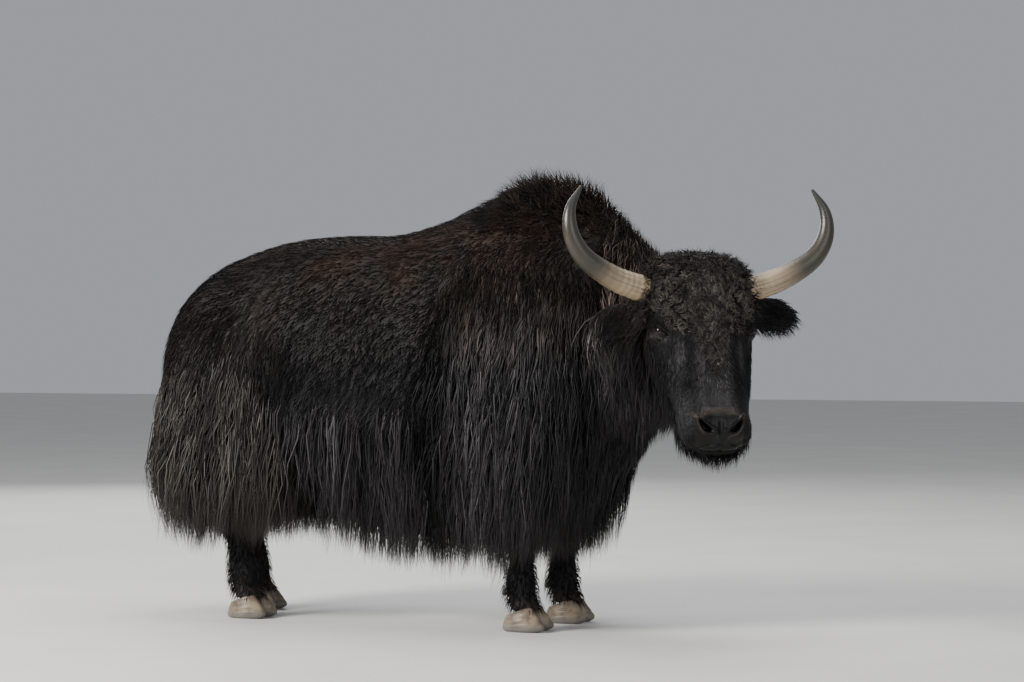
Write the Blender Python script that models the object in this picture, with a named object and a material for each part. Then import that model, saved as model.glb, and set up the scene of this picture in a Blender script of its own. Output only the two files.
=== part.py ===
"""A life-size still model of a black yak bull that stands with its head turned to its right.

Metres, +Z up, +X along the body towards the chest, +Y to the animal's left. The origin is on the
floor under the middle of the whole animal. Every shape is first made in body coordinates, which are
counted from the point midway between the fore hooves.
"""
import math
import random

import bmesh
import bpy
import numpy as np
from mathutils import Matrix, Vector
from mathutils.bvhtree import BVHTree

# Driving dimensions
FORE_FEET = Vector((0.2497, 0.0457, 0.0))  # the point midway between the fore hooves, in the model's frame
HUMP_HEIGHT = 1.375
BACK_HEIGHT = 1.21
RUMP_END = -1.305
CHEST_END = 0.33
BARREL_HALF_WIDTH = 0.335
SKIRT_TIP_HEIGHT = 0.235
APRON_TIP_HEIGHT = 0.205
THIGH_TIP_HEIGHT = 0.225
SHOULDER_SPLIT = -0.235
THIGH_SPLIT = -0.69
GAP = 0.0003

# The head, in its own axes: u runs from poll to muzzle, v out of the face, w to the animal's left
HEAD_LENGTH = 0.535
POLL = Vector((0.557, -0.1955, 1.085))
HEAD_YAW = math.radians(-53.0)
HEAD_PITCH = math.radians(65.0)
EYE_ALONG = 0.195
EYE_SIDE = 0.127
EYE_FRONT = -0.034
EYE_RADIUS = 0.0225
HORN_RADIUS = 0.043
HORN_SPAN = 0.395
HORN_RISE = 0.285
EAR_LENGTH = 0.195

# The feet, in body coordinates: x, y of the point between the two claws of each
FEET = {
    "fore_right": (-0.012, -0.138),
    "fore_left": (0.012, 0.138),
    "hind_right": (-0.962, -0.112),
    "hind_left": (-1.050, 0.120),
}
CLAW_HEIGHT = 0.070
CLAW_SPLAY = math.radians(7.0)

COAT_BLACK = (0.018, 0.016, 0.016)
COAT_BROWN = (0.030, 0.022, 0.018)
HORN_GREY = (0.36, 0.31, 0.24)
HOOF_TAN = (0.30, 0.25, 0.20)
EYE_BROWN = (0.02, 0.012, 0.008)

AROUND = 20
FLAT_ANGLE = math.radians(0.2)
LOOSE = random.Random(11)


# Small helpers

def interpolate(rows, at):
    """The row of sizes at this place, on a smooth curve through the rows. The first column is the place."""
    table = np.array(rows, float)
    places = table[:, 0]
    i = int(np.clip(np.searchsorted(places, at) - 1, 0, len(places) - 2))
    slopes = np.gradient(table[:, 1:], places, axis=0)
    step = places[i + 1] - places[i]
    t = min(max((at - places[i]) / step, 0.0), 1.0)
    start, end = table[i, 1:], table[i + 1, 1:]
    return (
        (2 * t**3 - 3 * t**2 + 1) * start
        + (t**3 - 2 * t**2 + t) * step * slopes[i]
        + (3 * t**2 - 2 * t**3) * end
        + (t**3 - t**2) * step * slopes[i + 1]
    )


def mesh_object(name, points, faces):
    """A mesh object whose faces point outwards."""
    mesh = bpy.data.meshes.new(name)
    mesh.from_pydata([tuple(p) for p in points], [], faces)
    made = bmesh.new()
    made.from_mesh(mesh)
    bmesh.ops.recalc_face_normals(made, faces=made.faces)
    bmesh.ops.triangulate(made, faces=made.faces)
    made.to_mesh(mesh)
    made.free()
    obj = bpy.data.objects.new(name, mesh)
    bpy.context.scene.collection.objects.link(obj)
    return obj


def loft(name, rings):
    """A closed skin over rings of equal count, with a pole at each end."""
    count = len(rings[0])
    points = [p for ring in rings for p in ring]
    faces = []
    for r in range(len(rings) - 1):
        for k in range(count):
            a, b = r * count + k, r * count + (k + 1) % count
            faces.append((a, b, b + count, a + count))
    for ring, first in ((rings[0], 0), (rings[-1], (len(rings) - 1) * count)):
        pole = len(points)
        points.append(sum((Vector(p) for p in ring), Vector()) / count)
        faces += [(pole, first + (k + 1) % count, first + k) for k in range(count)]
    return mesh_object(name, points, faces)


def oval_ring(centre, across, up, half_across, half_up, half_down, power_up=2.0, power_down=2.0, count=AROUND):
    """An oval in the plane of across and up, whose upper and lower halves have their own height and fullness."""
    ring = []
    for k in range(count):
        angle = 2 * math.pi * k / count
        c, s = math.cos(angle), math.sin(angle)
        power = power_up if s >= 0 else power_down
        height = half_up if s >= 0 else half_down
        side = math.copysign(abs(c) ** (2 / power), c) * half_across
        rise = math.copysign(abs(s) ** (2 / power), s) * height
        ring.append(centre + across * side + up * rise)
    return ring


def apply_boolean(obj, operation, other=None, collection=None, solver="MANIFOLD"):
    """One Boolean, applied to the object's own mesh."""
    boolean = obj.modifiers.new(operation.lower(), "BOOLEAN")
    boolean.operation = operation
    boolean.solver = solver
    if collection is None:
        boolean.object = other
    else:
        boolean.operand_type = "COLLECTION"
        boolean.collection = collection
    bpy.context.view_layer.update()
    graph = bpy.context.evaluated_depsgraph_get()
    result = bpy.data.meshes.new_from_object(obj.evaluated_get(graph))
    obj.modifiers.clear()
    obj.data = result


def remove(objects):
    for obj in list(objects):
        bpy.data.objects.remove(obj)


def join_pieces(base, pieces):
    """The union of a node's pieces, left in base."""
    if not pieces:
        return base
    group = bpy.data.collections.new(base.name + "_pieces")
    bpy.context.scene.collection.children.link(group)
    for piece in pieces:
        bpy.context.scene.collection.objects.unlink(piece)
        group.objects.link(piece)
    apply_boolean(base, "UNION", collection=group)
    remove(group.objects)
    bpy.data.collections.remove(group)
    return base


def cut_away(obj, cutters):
    """Takes the cutters' space from the object and removes them."""
    for cutter in cutters:
        apply_boolean(obj, "DIFFERENCE", other=cutter)
    remove(cutters)
    return obj


def keep_largest(obj):
    """Drops the loose scraps that a cut leaves."""
    made = bmesh.new()
    made.from_mesh(obj.data)
    bmesh.ops.remove_doubles(made, verts=made.verts, dist=1e-6)
    seen, bodies = set(), []
    for start in made.faces:
        if start in seen:
            continue
        body, stack = [], [start]
        seen.add(start)
        while stack:
            face = stack.pop()
            body.append(face)
            for edge in face.edges:
                for near in edge.link_faces:
                    if near not in seen:
                        seen.add(near)
                        stack.append(near)
        bodies.append(body)
    bodies.sort(key=lambda body: sum(face.calc_area() for face in body))
    scraps = [face for body in bodies[:-1] for face in body]
    bmesh.ops.delete(made, geom=scraps, context="FACES")
    bmesh.ops.dissolve_limit(made, angle_limit=FLAT_ANGLE, verts=made.verts, edges=made.edges)
    bmesh.ops.triangulate(made, faces=made.faces)
    made.to_mesh(obj.data)
    made.free()
    return obj


def grown(obj, by=GAP):
    """A copy of the object with its whole surface moved out by the gap."""
    made = bmesh.new()
    made.from_mesh(obj.data)
    made.normal_update()
    moves = [vert.normal * by * min(vert.calc_shell_factor(), 3.0) for vert in made.verts]
    for vert, move in zip(made.verts, moves):
        vert.co += move
    mesh = bpy.data.meshes.new("around_" + obj.name)
    made.to_mesh(mesh)
    made.free()
    copy = bpy.data.objects.new("around_" + obj.name, mesh)
    bpy.context.scene.collection.objects.link(copy)
    return copy


def far_side(point, normal, name="far_side"):
    """A large box that holds everything past a plane, a hair's gap back from it."""
    reach = 3.0
    box = bmesh.new()
    bmesh.ops.create_cube(box, size=2 * reach)
    mesh = bpy.data.meshes.new(name)
    box.to_mesh(mesh)
    box.free()
    obj = bpy.data.objects.new(name, mesh)
    bpy.context.scene.collection.objects.link(obj)
    direction = Vector(normal).normalized()
    middle = Vector(point) + direction * (reach - GAP / 2)
    turn = direction.to_track_quat("Z", "Y").to_matrix().to_4x4()
    mesh.transform(Matrix.Translation(middle) @ turn)
    return obj


# Locks of the long coat: tapered strips with a ridge, whose roots are sunk in what they grow from

# Share of the length, share of the width
LOCK_RINGS = [(0.0, 0.72), (0.16, 1.0), (0.50, 0.86), (0.80, 0.48)]
ROOT_DEPTH = 0.022
REAR_RISE_START = -1.06
DOWN = Vector((0, 0, -1))


def surface_of(obj):
    """A search tree of the object's faces."""
    made = bmesh.new()
    made.from_mesh(obj.data)
    tree = BVHTree.FromBMesh(made)
    made.free()
    return tree


def root_on(tree, origin, direction):
    """Where a ray from inside leaves the surface for the last time, and the way out of it there."""
    start = Vector(origin) + Vector(direction).normalized() * 1.5
    place, normal, _, _ = tree.ray_cast(start, -Vector(direction))
    return place, normal


def lock_path(tree, root, normal, lie, length, lift, drop, keep_within=None):
    """Stations from the root to the tip: along the lie at first, then down, always clear of the core."""
    places, outs = [], []
    place, out = root.copy(), normal.copy()
    steps = 20
    track = [(place.copy(), out.copy())]
    for k in range(1, steps + 1):
        share = k / steps
        heading = lie.lerp(DOWN, min(1.0, drop * share)).normalized()
        place = place + heading * (length / steps)
        near, near_out, _, _ = tree.find_nearest(place)
        clear = (place - near).dot(near_out)
        wanted = lift * min(1.0, share * 4.0)
        if (place - near).length < 0.08 and clear < wanted:
            place = place + near_out * (wanted - clear)
        if keep_within is not None:
            place.x = min(max(place.x, keep_within[0]), keep_within[1])
        flat = Vector((near_out.x, near_out.y, near_out.z * 0.3))
        if (place - near).length < 0.08 and flat.length > 0.2:
            out = out.lerp(flat.normalized(), 0.35).normalized()
        track.append((place.copy(), out.copy()))
    for share, _ in LOCK_RINGS + [(1.0, 0.0)]:
        at = share * steps
        low = min(int(at), steps - 1)
        a, b = track[low], track[low + 1]
        places.append(a[0].lerp(b[0], at - low))
        outs.append(a[1].lerp(b[1], at - low).normalized())
    places[0] = root - normal * ROOT_DEPTH
    return places, outs


def lock_piece(name, places, outs, width, thick):
    """A closed strip with a flat back and a raised ridge, tapering to a point."""
    points, faces = [], []
    for k, (_, share) in enumerate(LOCK_RINGS):
        ahead, behind = places[k + 1], places[max(k - 1, 0)]
        along = (ahead - behind).normalized()
        across = along.cross(outs[k]).normalized()
        out = across.cross(along).normalized()
        half = 0.5 * width * share
        points += [
            places[k] - across * half,
            places[k] + across * half,
            places[k] + out * thick * (0.5 + 0.5 * share),
        ]
    points.append(places[-1])
    tip = len(points) - 1
    for k in range(len(LOCK_RINGS) - 1):
        for j in range(3):
            a, b = 3 * k + j, 3 * k + (j + 1) % 3
            faces.append((a, b, b + 3, a + 3))
    last = 3 * (len(LOCK_RINGS) - 1)
    faces += [(last + j, last + (j + 1) % 3, tip) for j in range(3)]
    faces.append((2, 1, 0))
    return mesh_object(name, points, faces)


def locks_from(core, roots, length, width, thick, lean, drop=1.6, tip_height=None, keep_within=None, rear_rise=0.0):
    """A tier of locks. Neighbours lie at two heights over the core, so that they overlap as hair does."""
    tree = surface_of(core)
    locks = []
    for k, (origin, direction) in enumerate(roots):
        root, normal = root_on(tree, origin, direction)
        if root is None:
            continue
        lie = (DOWN + Vector(lean) + normal * 0.25).normalized()
        reach = length * LOOSE.uniform(0.90, 1.08)
        if tip_height is not None:
            rise = rear_rise * max(0.0, REAR_RISE_START - root.x)
            reach = (root.z - tip_height - rise) * LOOSE.uniform(0.93, 1.04)
        lift = (0.004, 0.022)[k % 2] + LOOSE.uniform(0.0, 0.003)
        places, outs = lock_path(tree, root, normal, lie, reach, lift, drop, keep_within)
        locks.append(lock_piece("lock", places, outs, width * LOOSE.uniform(0.90, 1.12), thick))
    return locks


def fan(x, y, z, start, end, count, wander=0.012):
    """Rays from an upright axis, evenly turned about it, each a little higher or lower than the next."""
    rays = []
    for k in range(count):
        angle = math.radians(start + (end - start) * (k + LOOSE.uniform(-0.15, 0.15)) / max(count - 1, 1))
        rays.append(((x, y, z + LOOSE.uniform(-wander, wander)), (math.cos(angle), math.sin(angle), 0)))
    return rays


def row_of(start, end, z, side, count, wander=0.012):
    """Rays out of the trunk's side, evenly along it."""
    rays = []
    for k in range(count):
        x = start + (end - start) * (k + LOOSE.uniform(-0.15, 0.15)) / max(count - 1, 1)
        rays.append(((x, 0, z + LOOSE.uniform(-wander, wander)), (0, side, 0)))
    return rays


# The trunk: sections across the body, each x, top, height of the widest place, bottom, half width, fullness above

TRUNK_ROWS = [
    (RUMP_END, 0.900, 0.70, 0.53, 0.120, 2.2),
    (-1.260, 0.985, 0.71, 0.49, 0.200, 2.2),
    (-1.160, 1.085, 0.72, 0.46, 0.275, 2.2),
    (-0.960, 1.170, 0.73, 0.46, 0.305, 2.2),
    (-0.700, BACK_HEIGHT, 0.74, 0.47, 0.325, 2.3),
    (-0.460, BACK_HEIGHT + 0.005, 0.75, 0.46, BARREL_HALF_WIDTH, 2.2),
    (-0.320, 1.262, 0.76, 0.45, 0.330, 1.9),
    (-0.160, HUMP_HEIGHT - 0.040, 0.78, 0.44, 0.320, 1.7),
    (0.000, HUMP_HEIGHT, 0.80, 0.43, 0.310, 1.6),
    (0.110, HUMP_HEIGHT - 0.020, 0.82, 0.43, 0.285, 1.6),
    (0.220, 1.300, 0.84, 0.45, 0.240, 1.7),
    (CHEST_END, 1.150, 0.84, 0.52, 0.150, 1.9),
]
TRUNK_FULLNESS_BELOW = 2.6


def trunk_ring(x, count=AROUND):
    top, middle, bottom, half_width, fullness = interpolate(TRUNK_ROWS, x)
    return oval_ring(
        Vector((x, 0, middle)), Vector((0, 1, 0)), Vector((0, 0, 1)),
        half_width, top - middle, middle - bottom, fullness, TRUNK_FULLNESS_BELOW, count,
    )


def trunk_piece(name, start, end, steps):
    places = [start + (end - start) * k / steps for k in range(steps + 1)]
    return loft(name, [trunk_ring(x) for x in places])


# Coat masses over the shoulder and the thigh: height, x, half length, distance from the middle, half depth

APRON_ROWS = [
    (0.350, -0.045, 0.115, 0.175, 0.085),
    (0.480, -0.045, 0.145, 0.190, 0.115),
    (0.680, -0.015, 0.195, 0.205, 0.125),
    (0.880, 0.010, 0.200, 0.195, 0.110),
    (1.020, 0.030, 0.150, 0.150, 0.060),
]
THIGH_ROWS = [
    (0.350, -0.970, 0.165, 0.180, 0.090),
    (0.480, -0.990, 0.220, 0.195, 0.110),
    (0.680, -1.010, 0.235, 0.205, 0.115),
    (0.850, -1.020, 0.205, 0.190, 0.100),
    (0.980, -1.030, 0.140, 0.150, 0.060),
]


def coat_mass(name, rows, side, steps=7):
    rings = []
    low, high = rows[0][0], rows[-1][0]
    for k in range(steps + 1):
        z = low + (high - low) * k / steps
        x, half_length, out, half_depth = interpolate(rows, z)
        rings.append(
            oval_ring(
                Vector((x, side * out, z)), Vector((1, 0, 0)), Vector((0, 1, 0)),
                half_length, half_depth, half_depth, 2.2, 2.2, 14,
            )
        )
    return loft(name, rings)


# The neck: distance along, centre x, y, z, half width, half height above, half height below

NECK_ROWS = [
    (0.00, 0.120, 0.000, 0.850, 0.235, 0.470, 0.370),
    (0.30, 0.255, -0.010, 0.845, 0.200, 0.400, 0.325),
    (0.60, 0.375, -0.050, 0.855, 0.170, 0.285, 0.262),
    (0.85, 0.465, -0.105, 0.870, 0.152, 0.218, 0.232),
    (1.00, 0.515, -0.150, 0.880, 0.132, 0.192, 0.205),
]
NECK_BORDER = 0.185
RUFF_BORDER = 0.455
RUFF_FRONT = 0.270


def neck_piece(name, steps=8):
    rings = []
    for k in range(steps + 1):
        x, y, z, half_width, above, below = interpolate(NECK_ROWS, k / steps)
        ahead = Vector(interpolate(NECK_ROWS, min(k / steps + 0.05, 1.0))[:3])
        behind = Vector(interpolate(NECK_ROWS, max(k / steps - 0.05, 0.0))[:3])
        along = (ahead - behind).normalized()
        across = Vector((0, 0, 1)).cross(along).normalized()
        rings.append(
            oval_ring(Vector((x, y, z)), across, Vector((0, 0, 1)), half_width, above, below, 1.9, 2.1)
        )
    return loft(name, rings)


# The head

FACING = Vector((math.cos(HEAD_YAW), math.sin(HEAD_YAW), 0))
HEAD_U = (FACING * math.cos(HEAD_PITCH) + Vector((0, 0, -math.sin(HEAD_PITCH)))).normalized()
HEAD_V = (FACING * math.sin(HEAD_PITCH) + Vector((0, 0, math.cos(HEAD_PITCH)))).normalized()
HEAD_W = Vector((-math.sin(HEAD_YAW), math.cos(HEAD_YAW), 0))


def head_point(u, v, w):
    """A place on the head in body coordinates."""
    return POLL + HEAD_U * u + HEAD_V * v + HEAD_W * w


# Sections along the head: u, face line, throat line, half width, fullness in front, fullness behind
HEAD_ROWS = [
    (-0.055, -0.040, -0.150, 0.085, 2.2, 2.0),
    (-0.030, 0.012, -0.190, 0.134, 2.4, 2.0),
    (0.030, 0.038, -0.215, 0.159, 2.6, 2.0),
    (0.110, 0.046, -0.225, 0.157, 2.6, 2.0),
    (0.200, 0.034, -0.225, 0.146, 2.4, 2.2),
    (0.290, 0.014, -0.208, 0.134, 2.4, 2.2),
    (0.380, 0.000, -0.172, 0.116, 2.4, 2.4),
    (0.445, -0.004, -0.150, 0.103, 2.5, 2.6),
    (HEAD_LENGTH - 0.032, -0.012, -0.146, 0.103, 2.6, 2.6),
    (HEAD_LENGTH, -0.040, -0.122, 0.076, 2.6, 2.6),
]


def head_ring(u, count=16):
    face, throat, half_width, front_power, back_power = interpolate(HEAD_ROWS, u)
    middle = face - 0.42 * (face - throat)
    return oval_ring(
        head_point(u, middle, 0), HEAD_W, HEAD_V, half_width,
        face - middle, middle - throat, front_power, back_power, count,
    )


def head_piece(name, steps=11):
    start, end = HEAD_ROWS[0][0], HEAD_ROWS[-1][0]
    return loft(name, [head_ring(start + (end - start) * k / steps) for k in range(steps + 1)])


def ball(name, centre, radii, axes, segments=12, rings=8):
    """A ball with three half sizes along three axes."""
    made = bmesh.new()
    bmesh.ops.create_uvsphere(made, u_segments=segments, v_segments=rings, radius=1.0)
    mesh = bpy.data.meshes.new(name)
    bmesh.ops.triangulate(made, faces=made.faces)
    made.to_mesh(mesh)
    made.free()
    turn = Matrix([axes[0] * radii[0], axes[1] * radii[1], axes[2] * radii[2]]).transposed().to_4x4()
    if turn.determinant() < 0:
        mesh.flip_normals()
    mesh.transform(Matrix.Translation(centre) @ turn)
    obj = bpy.data.objects.new(name, mesh)
    bpy.context.scene.collection.objects.link(obj)
    return obj


HEAD_AXES = (HEAD_U, HEAD_V, HEAD_W)


def eye_piece(side):
    centre = head_point(EYE_ALONG, EYE_FRONT, side * EYE_SIDE)
    return ball("eye_left" if side > 0 else "eye_right", centre, (EYE_RADIUS,) * 3, HEAD_AXES, 10, 7)


def bent_tube(name, centres, outs, radius, closed=False):
    """A four-sided tube along a path, round for a closed path and with pointed ends for an open one."""
    count = len(centres)
    rings = []
    for k in range(count):
        ahead = centres[(k + 1) % count] if closed else centres[min(k + 1, count - 1)]
        behind = centres[k - 1] if closed else centres[max(k - 1, 0)]
        along = (ahead - behind).normalized()
        out = (outs[k] - along * outs[k].dot(along)).normalized()
        across = along.cross(out)
        ends = 1.0 if closed else min(1.0, 0.35 + 3.0 * min(k, count - 1 - k) / count)
        rings.append([centres[k] + (across * a + out * b) * radius * ends for a, b in ((1, 0), (0, 1), (-1, 0), (0, -1))])
    if not closed:
        return loft(name, rings)
    points = [point for ring in rings for point in ring]
    faces = []
    for k in range(count):
        for j in range(4):
            a, b = 4 * k + j, 4 * k + (j + 1) % 4
            c, d = 4 * ((k + 1) % count) + (j + 1) % 4, 4 * ((k + 1) % count) + j
            faces.append((a, b, c, d))
    return mesh_object(name, points, faces)


LID_LONG = 0.025
LID_HIGH = 0.0155
LID_THICK = 0.0065


def lids_piece(side, count=10):
    """Both lids as one almond-shaped rim that hugs the eyeball."""
    middle = head_point(EYE_ALONG, EYE_FRONT, side * EYE_SIDE)
    out = (HEAD_W * side + HEAD_V * 0.62 + HEAD_U * 0.10).normalized()
    slant = HEAD_U * 0.85 + HEAD_V * 0.95
    long_way = (slant - out * slant.dot(out)).normalized()
    high_way = out.cross(long_way)
    centres, outs = [], []
    for k in range(count):
        angle = 2 * math.pi * k / count
        offset = long_way * math.cos(angle) * LID_LONG + high_way * math.sin(angle) * LID_HIGH
        rise = math.sqrt(max(EYE_RADIUS**2 - offset.length_squared, 0.0)) + 0.002
        rise = max(rise, EYE_RADIUS * 0.65)
        centres.append(middle + offset + out * rise)
        outs.append(out)
    return bent_tube("lids", centres, outs, LID_THICK, True)


MOUTH_DEPTH = -0.074
NOSTRIL_ALONG = HEAD_LENGTH - 0.042
NOSTRIL_SIDE = 0.051


def mouth_groove(head, count=12):
    """A thin cut round the muzzle, between the lips, from one corner of the mouth to the other."""
    tree = surface_of(head)
    centres, outs = [], []
    for k in range(count):
        angle = math.radians(-112 + 224 * k / (count - 1))
        direction = HEAD_U * math.cos(angle) + HEAD_W * math.sin(angle)
        place, _ = root_on(tree, head_point(0.455, MOUTH_DEPTH, 0), direction)
        centres.append(place)
        outs.append(direction)
    return bent_tube("mouth", centres, outs, 0.0045)


def nostril_cutter(side):
    centre = head_point(NOSTRIL_ALONG, -0.018, side * NOSTRIL_SIDE)
    slant = (HEAD_W * side * 0.75 + HEAD_V * 0.65).normalized()
    across = slant.cross(HEAD_U).normalized()
    return ball("nostril", centre, (0.024, 0.016, 0.0095), (HEAD_U, slant, across), 8, 6)


def lip_piece(name, along, depth, half_width, radius):
    """A soft roll across the muzzle: the upper or lower lip, or the chin."""
    return ball(name, head_point(along, depth, 0), (radius, radius * 0.9, half_width), HEAD_AXES, 10, 8)


# The forehead's curls: rows across the head, each its place along, its half width and the count in it
CURL_ROWS = [
    (-0.035, 0.085, 3),
    (0.020, 0.114, 4),
    (0.078, 0.104, 4),
    (0.132, 0.100, 4),
    (0.185, 0.060, 3),
]
CURL_SIZE = (0.042, 0.018, 0.036)


def curl_pieces(head):
    """Rounded clumps set close over the poll and the forehead."""
    tree = surface_of(head)
    curls = []
    for along, half_width, count in CURL_ROWS:
        for k in range(count):
            across = -half_width + 2 * half_width * k / (count - 1)
            at = head_point(along + LOOSE.uniform(-0.008, 0.008), -0.06, across * 0.6)
            direction = (HEAD_V + HEAD_W * across * 4.0 - HEAD_U * max(0.0, 0.02 - along) * 14).normalized()
            place, normal = root_on(tree, at, direction)
            turn = LOOSE.uniform(0, math.pi)
            side_way = normal.cross(HEAD_U).normalized()
            long_way = side_way.cross(normal).normalized()
            first = long_way * math.cos(turn) + side_way * math.sin(turn)
            size = LOOSE.uniform(0.85, 1.15)
            radii = tuple(value * size for value in CURL_SIZE)
            axes = (first, normal, first.cross(normal))
            curls.append(ball("curl", place + normal * 0.002, radii, axes, 6, 4))
    return curls


def beard_locks(head):
    roots = []
    for k, across in enumerate((-0.050, 0.0, 0.050)):
        roots.append((head_point(0.475 - 0.01 * abs(k - 1), -0.08, across), -HEAD_V))
    for across in (-0.04, 0.04):
        roots.append((head_point(0.400, -0.08, across), -HEAD_V))
    return locks_from(head, roots, 0.085, 0.055, 0.018, (0, 0, 0), 1.0)


# Horn: share along, out from the middle of the head, rise above the root, forward of the root, radius
HORN_ROWS = [
    (0.00, 0.125, -0.004, -0.030, HORN_RADIUS),
    (0.16, 0.185, 0.008, -0.026, HORN_RADIUS),
    (0.34, 0.270, 0.040, -0.010, 0.0385),
    (0.52, 0.350, 0.095, 0.005, 0.0330),
    (0.70, HORN_SPAN - 0.008, 0.165, 0.008, 0.0260),
    (0.86, 0.380, 0.232, 0.000, 0.0165),
    (1.00, 0.335, HORN_RISE, -0.012, 0.0035),
]
HORN_ALONG = 0.062


def horn_centre(share, side):
    out, rise, forward, radius = interpolate(HORN_ROWS, share)
    root = head_point(HORN_ALONG, -0.03, 0)
    return root + HEAD_W * side * out + Vector((0, 0, rise)) + FACING * forward, radius


def horn_piece(side, steps=12, count=10):
    rings = []
    for k in range(steps + 1):
        share = k / steps
        centre, radius = horn_centre(share, side)
        along = (horn_centre(min(share + 0.03, 1), side)[0] - horn_centre(max(share - 0.03, 0), side)[0]).normalized()
        across = along.cross(FACING).normalized()
        up = across.cross(along).normalized()
        rings.append(oval_ring(centre, across, up, radius, radius, radius, count=count))
    return loft("horn_left" if side > 0 else "horn_right", rings)


# Ear: share along, half width, half thickness
EAR_ROWS = [(0.0, 0.020, 0.017), (0.25, 0.040, 0.022), (0.55, 0.048, 0.020), (0.85, 0.030, 0.013), (1.0, 0.008, 0.006)]


def ear_axes(side):
    along = (HEAD_W * side * 0.95 + Vector((0, 0, -0.04)) - FACING * 0.22).normalized()
    opening = (FACING * 0.80 + Vector((0, 0, 0.25)) + HEAD_W * side * 0.15)
    opening = (opening - along * opening.dot(along)).normalized()
    return along, opening, along.cross(opening)


def ear_loft(name, side, grow, shift, start, end, steps=6):
    along, opening, across = ear_axes(side)
    root = head_point(0.125, -0.085, side * 0.128)
    rings = []
    for k in range(steps + 1):
        share = start + (end - start) * k / steps
        half_width, half_thick = interpolate(EAR_ROWS, share)
        centre = root + along * EAR_LENGTH * share + opening * shift
        rings.append(oval_ring(centre, across, opening, half_width + grow, half_thick + grow, half_thick + grow, count=10))
    return loft(name, rings)


def ear_piece(side):
    """The ear before its cup is cut, so that what lies round it can be cut by its full form."""
    return ear_loft("ear_left" if side > 0 else "ear_right", side, 0.0, 0.0, 0.0, 1.0)


def cut_ear_cup(ear, side):
    cut_away(ear, [ear_loft("ear_cup", side, -0.009, 0.013, 0.33, 0.93)])


# Legs: height, x and y from the foot, half length, half width

FORE_LIMB_ROWS = [
    (CLAW_HEIGHT + GAP, 0.006, 0.000, 0.047, 0.052),
    (0.105, -0.008, 0.000, 0.040, 0.043),
    (0.140, -0.014, 0.000, 0.046, 0.046),
    (0.200, -0.012, 0.001, 0.036, 0.036),
    (0.300, -0.004, 0.004, 0.038, 0.038),
    (0.370, 0.010, 0.006, 0.050, 0.047),
    (0.460, 0.004, 0.012, 0.055, 0.050),
    (0.620, -0.010, 0.030, 0.075, 0.060),
]
HIND_LIMB_ROWS = [
    (CLAW_HEIGHT + GAP, 0.004, 0.000, 0.047, 0.052),
    (0.105, -0.010, 0.000, 0.040, 0.042),
    (0.140, -0.018, 0.000, 0.047, 0.046),
    (0.210, -0.028, 0.003, 0.038, 0.036),
    (0.330, -0.052, 0.010, 0.044, 0.038),
    (0.420, -0.068, 0.018, 0.062, 0.044),
    (0.520, -0.020, 0.035, 0.085, 0.060),
    (0.640, 0.030, 0.060, 0.110, 0.070),
]


def limb_piece(foot, count=12):
    rows = FORE_LIMB_ROWS if foot.startswith("fore") else HIND_LIMB_ROWS
    foot_x, foot_y = FEET[foot]
    side = 1 if foot_y > 0 else -1
    heights = [rows[0][0], 0.088, 0.112, 0.140, 0.175, 0.23, 0.30, 0.37, 0.43, 0.51, rows[-1][0]]
    rings = []
    for z in heights:
        x, out, half_length, half_width = interpolate(rows, z)
        centre = Vector((foot_x + x, foot_y + side * out, z))
        rings.append(
            oval_ring(centre, Vector((1, 0, 0)), Vector((0, 1, 0)),
                      half_length, half_width, half_width, count=count)
        )
    return loft("leg_" + foot, rings)


# Claws: height, how far the toe and the heel reach, half width
CLAW_ROWS = [
    (0.000, 0.072, -0.050, 0.0235),
    (0.012, 0.071, -0.053, 0.0255),
    (0.040, 0.055, -0.053, 0.0250),
    (CLAW_HEIGHT, 0.036, -0.046, 0.0225),
]


def claw_outline(toe, heel, half_width, count=12):
    """A claw in plan: a rounded heel, nearly straight sides and a blunt toe."""
    outline = []
    for k in range(count):
        angle = 2 * math.pi * k / count
        c, s = math.cos(angle), math.sin(angle)
        x = toe * c if c > 0 else -heel * c
        narrow = 1.0 - 0.30 * max(c, 0.0)
        outline.append((x, half_width * narrow * math.copysign(abs(s) ** 0.75, s)))
    return outline


def claw_piece(foot, claw):
    foot_x, foot_y = FEET[foot]
    side = 1 if foot_y > 0 else -1
    part = 1 if claw == "outer" else -1
    turn = Matrix.Rotation(side * part * CLAW_SPLAY, 3, "Z")
    rings = []
    for height, toe, heel, half_width in CLAW_ROWS:
        ring = []
        for x, y in claw_outline(toe, heel, half_width):
            place = turn @ Vector((x, y, 0))
            ring.append(Vector((foot_x, foot_y + side * part * 0.0285, height)) + place)
        rings.append(ring)
    return loft(f"hoof_{foot}_{claw}", rings)


def dewclaw_piece(foot, claw):
    foot_x, foot_y = FEET[foot]
    side = 1 if foot_y > 0 else -1
    part = 1 if claw == "outer" else -1
    root = Vector((foot_x - 0.045, foot_y + side * part * 0.022, 0.122))
    along = Vector((-0.75, side * part * 0.25, -0.60)).normalized()
    across = along.cross(Vector((0, 0, 1))).normalized()
    up = across.cross(along)
    rings = []
    for share, radius in ((-0.012, 0.013), (0.010, 0.013), (0.024, 0.010), (0.032, 0.005)):
        rings.append(oval_ring(root + along * share, across, up, radius, radius, radius, count=8))
    return loft(f"dewclaw_{foot}_{claw}", rings)


# Tail: share down its length, x from the root, half width, half depth, height
TAIL_ROWS = [
    (0.00, 0.060, 0.040, 0.040, 1.030),
    (0.14, 0.000, 0.048, 0.042, 0.950),
    (0.40, -0.030, 0.070, 0.050, 0.760),
    (0.65, -0.034, 0.080, 0.052, 0.560),
    (0.82, -0.026, 0.050, 0.038, 0.440),
]
TAIL_ROOT_X = -1.268
TAIL_SLOT_FRONT = -1.232
TAIL_SLOT_SIDE = 0.128
TAIL_SLOT_TOP = 0.860


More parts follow.
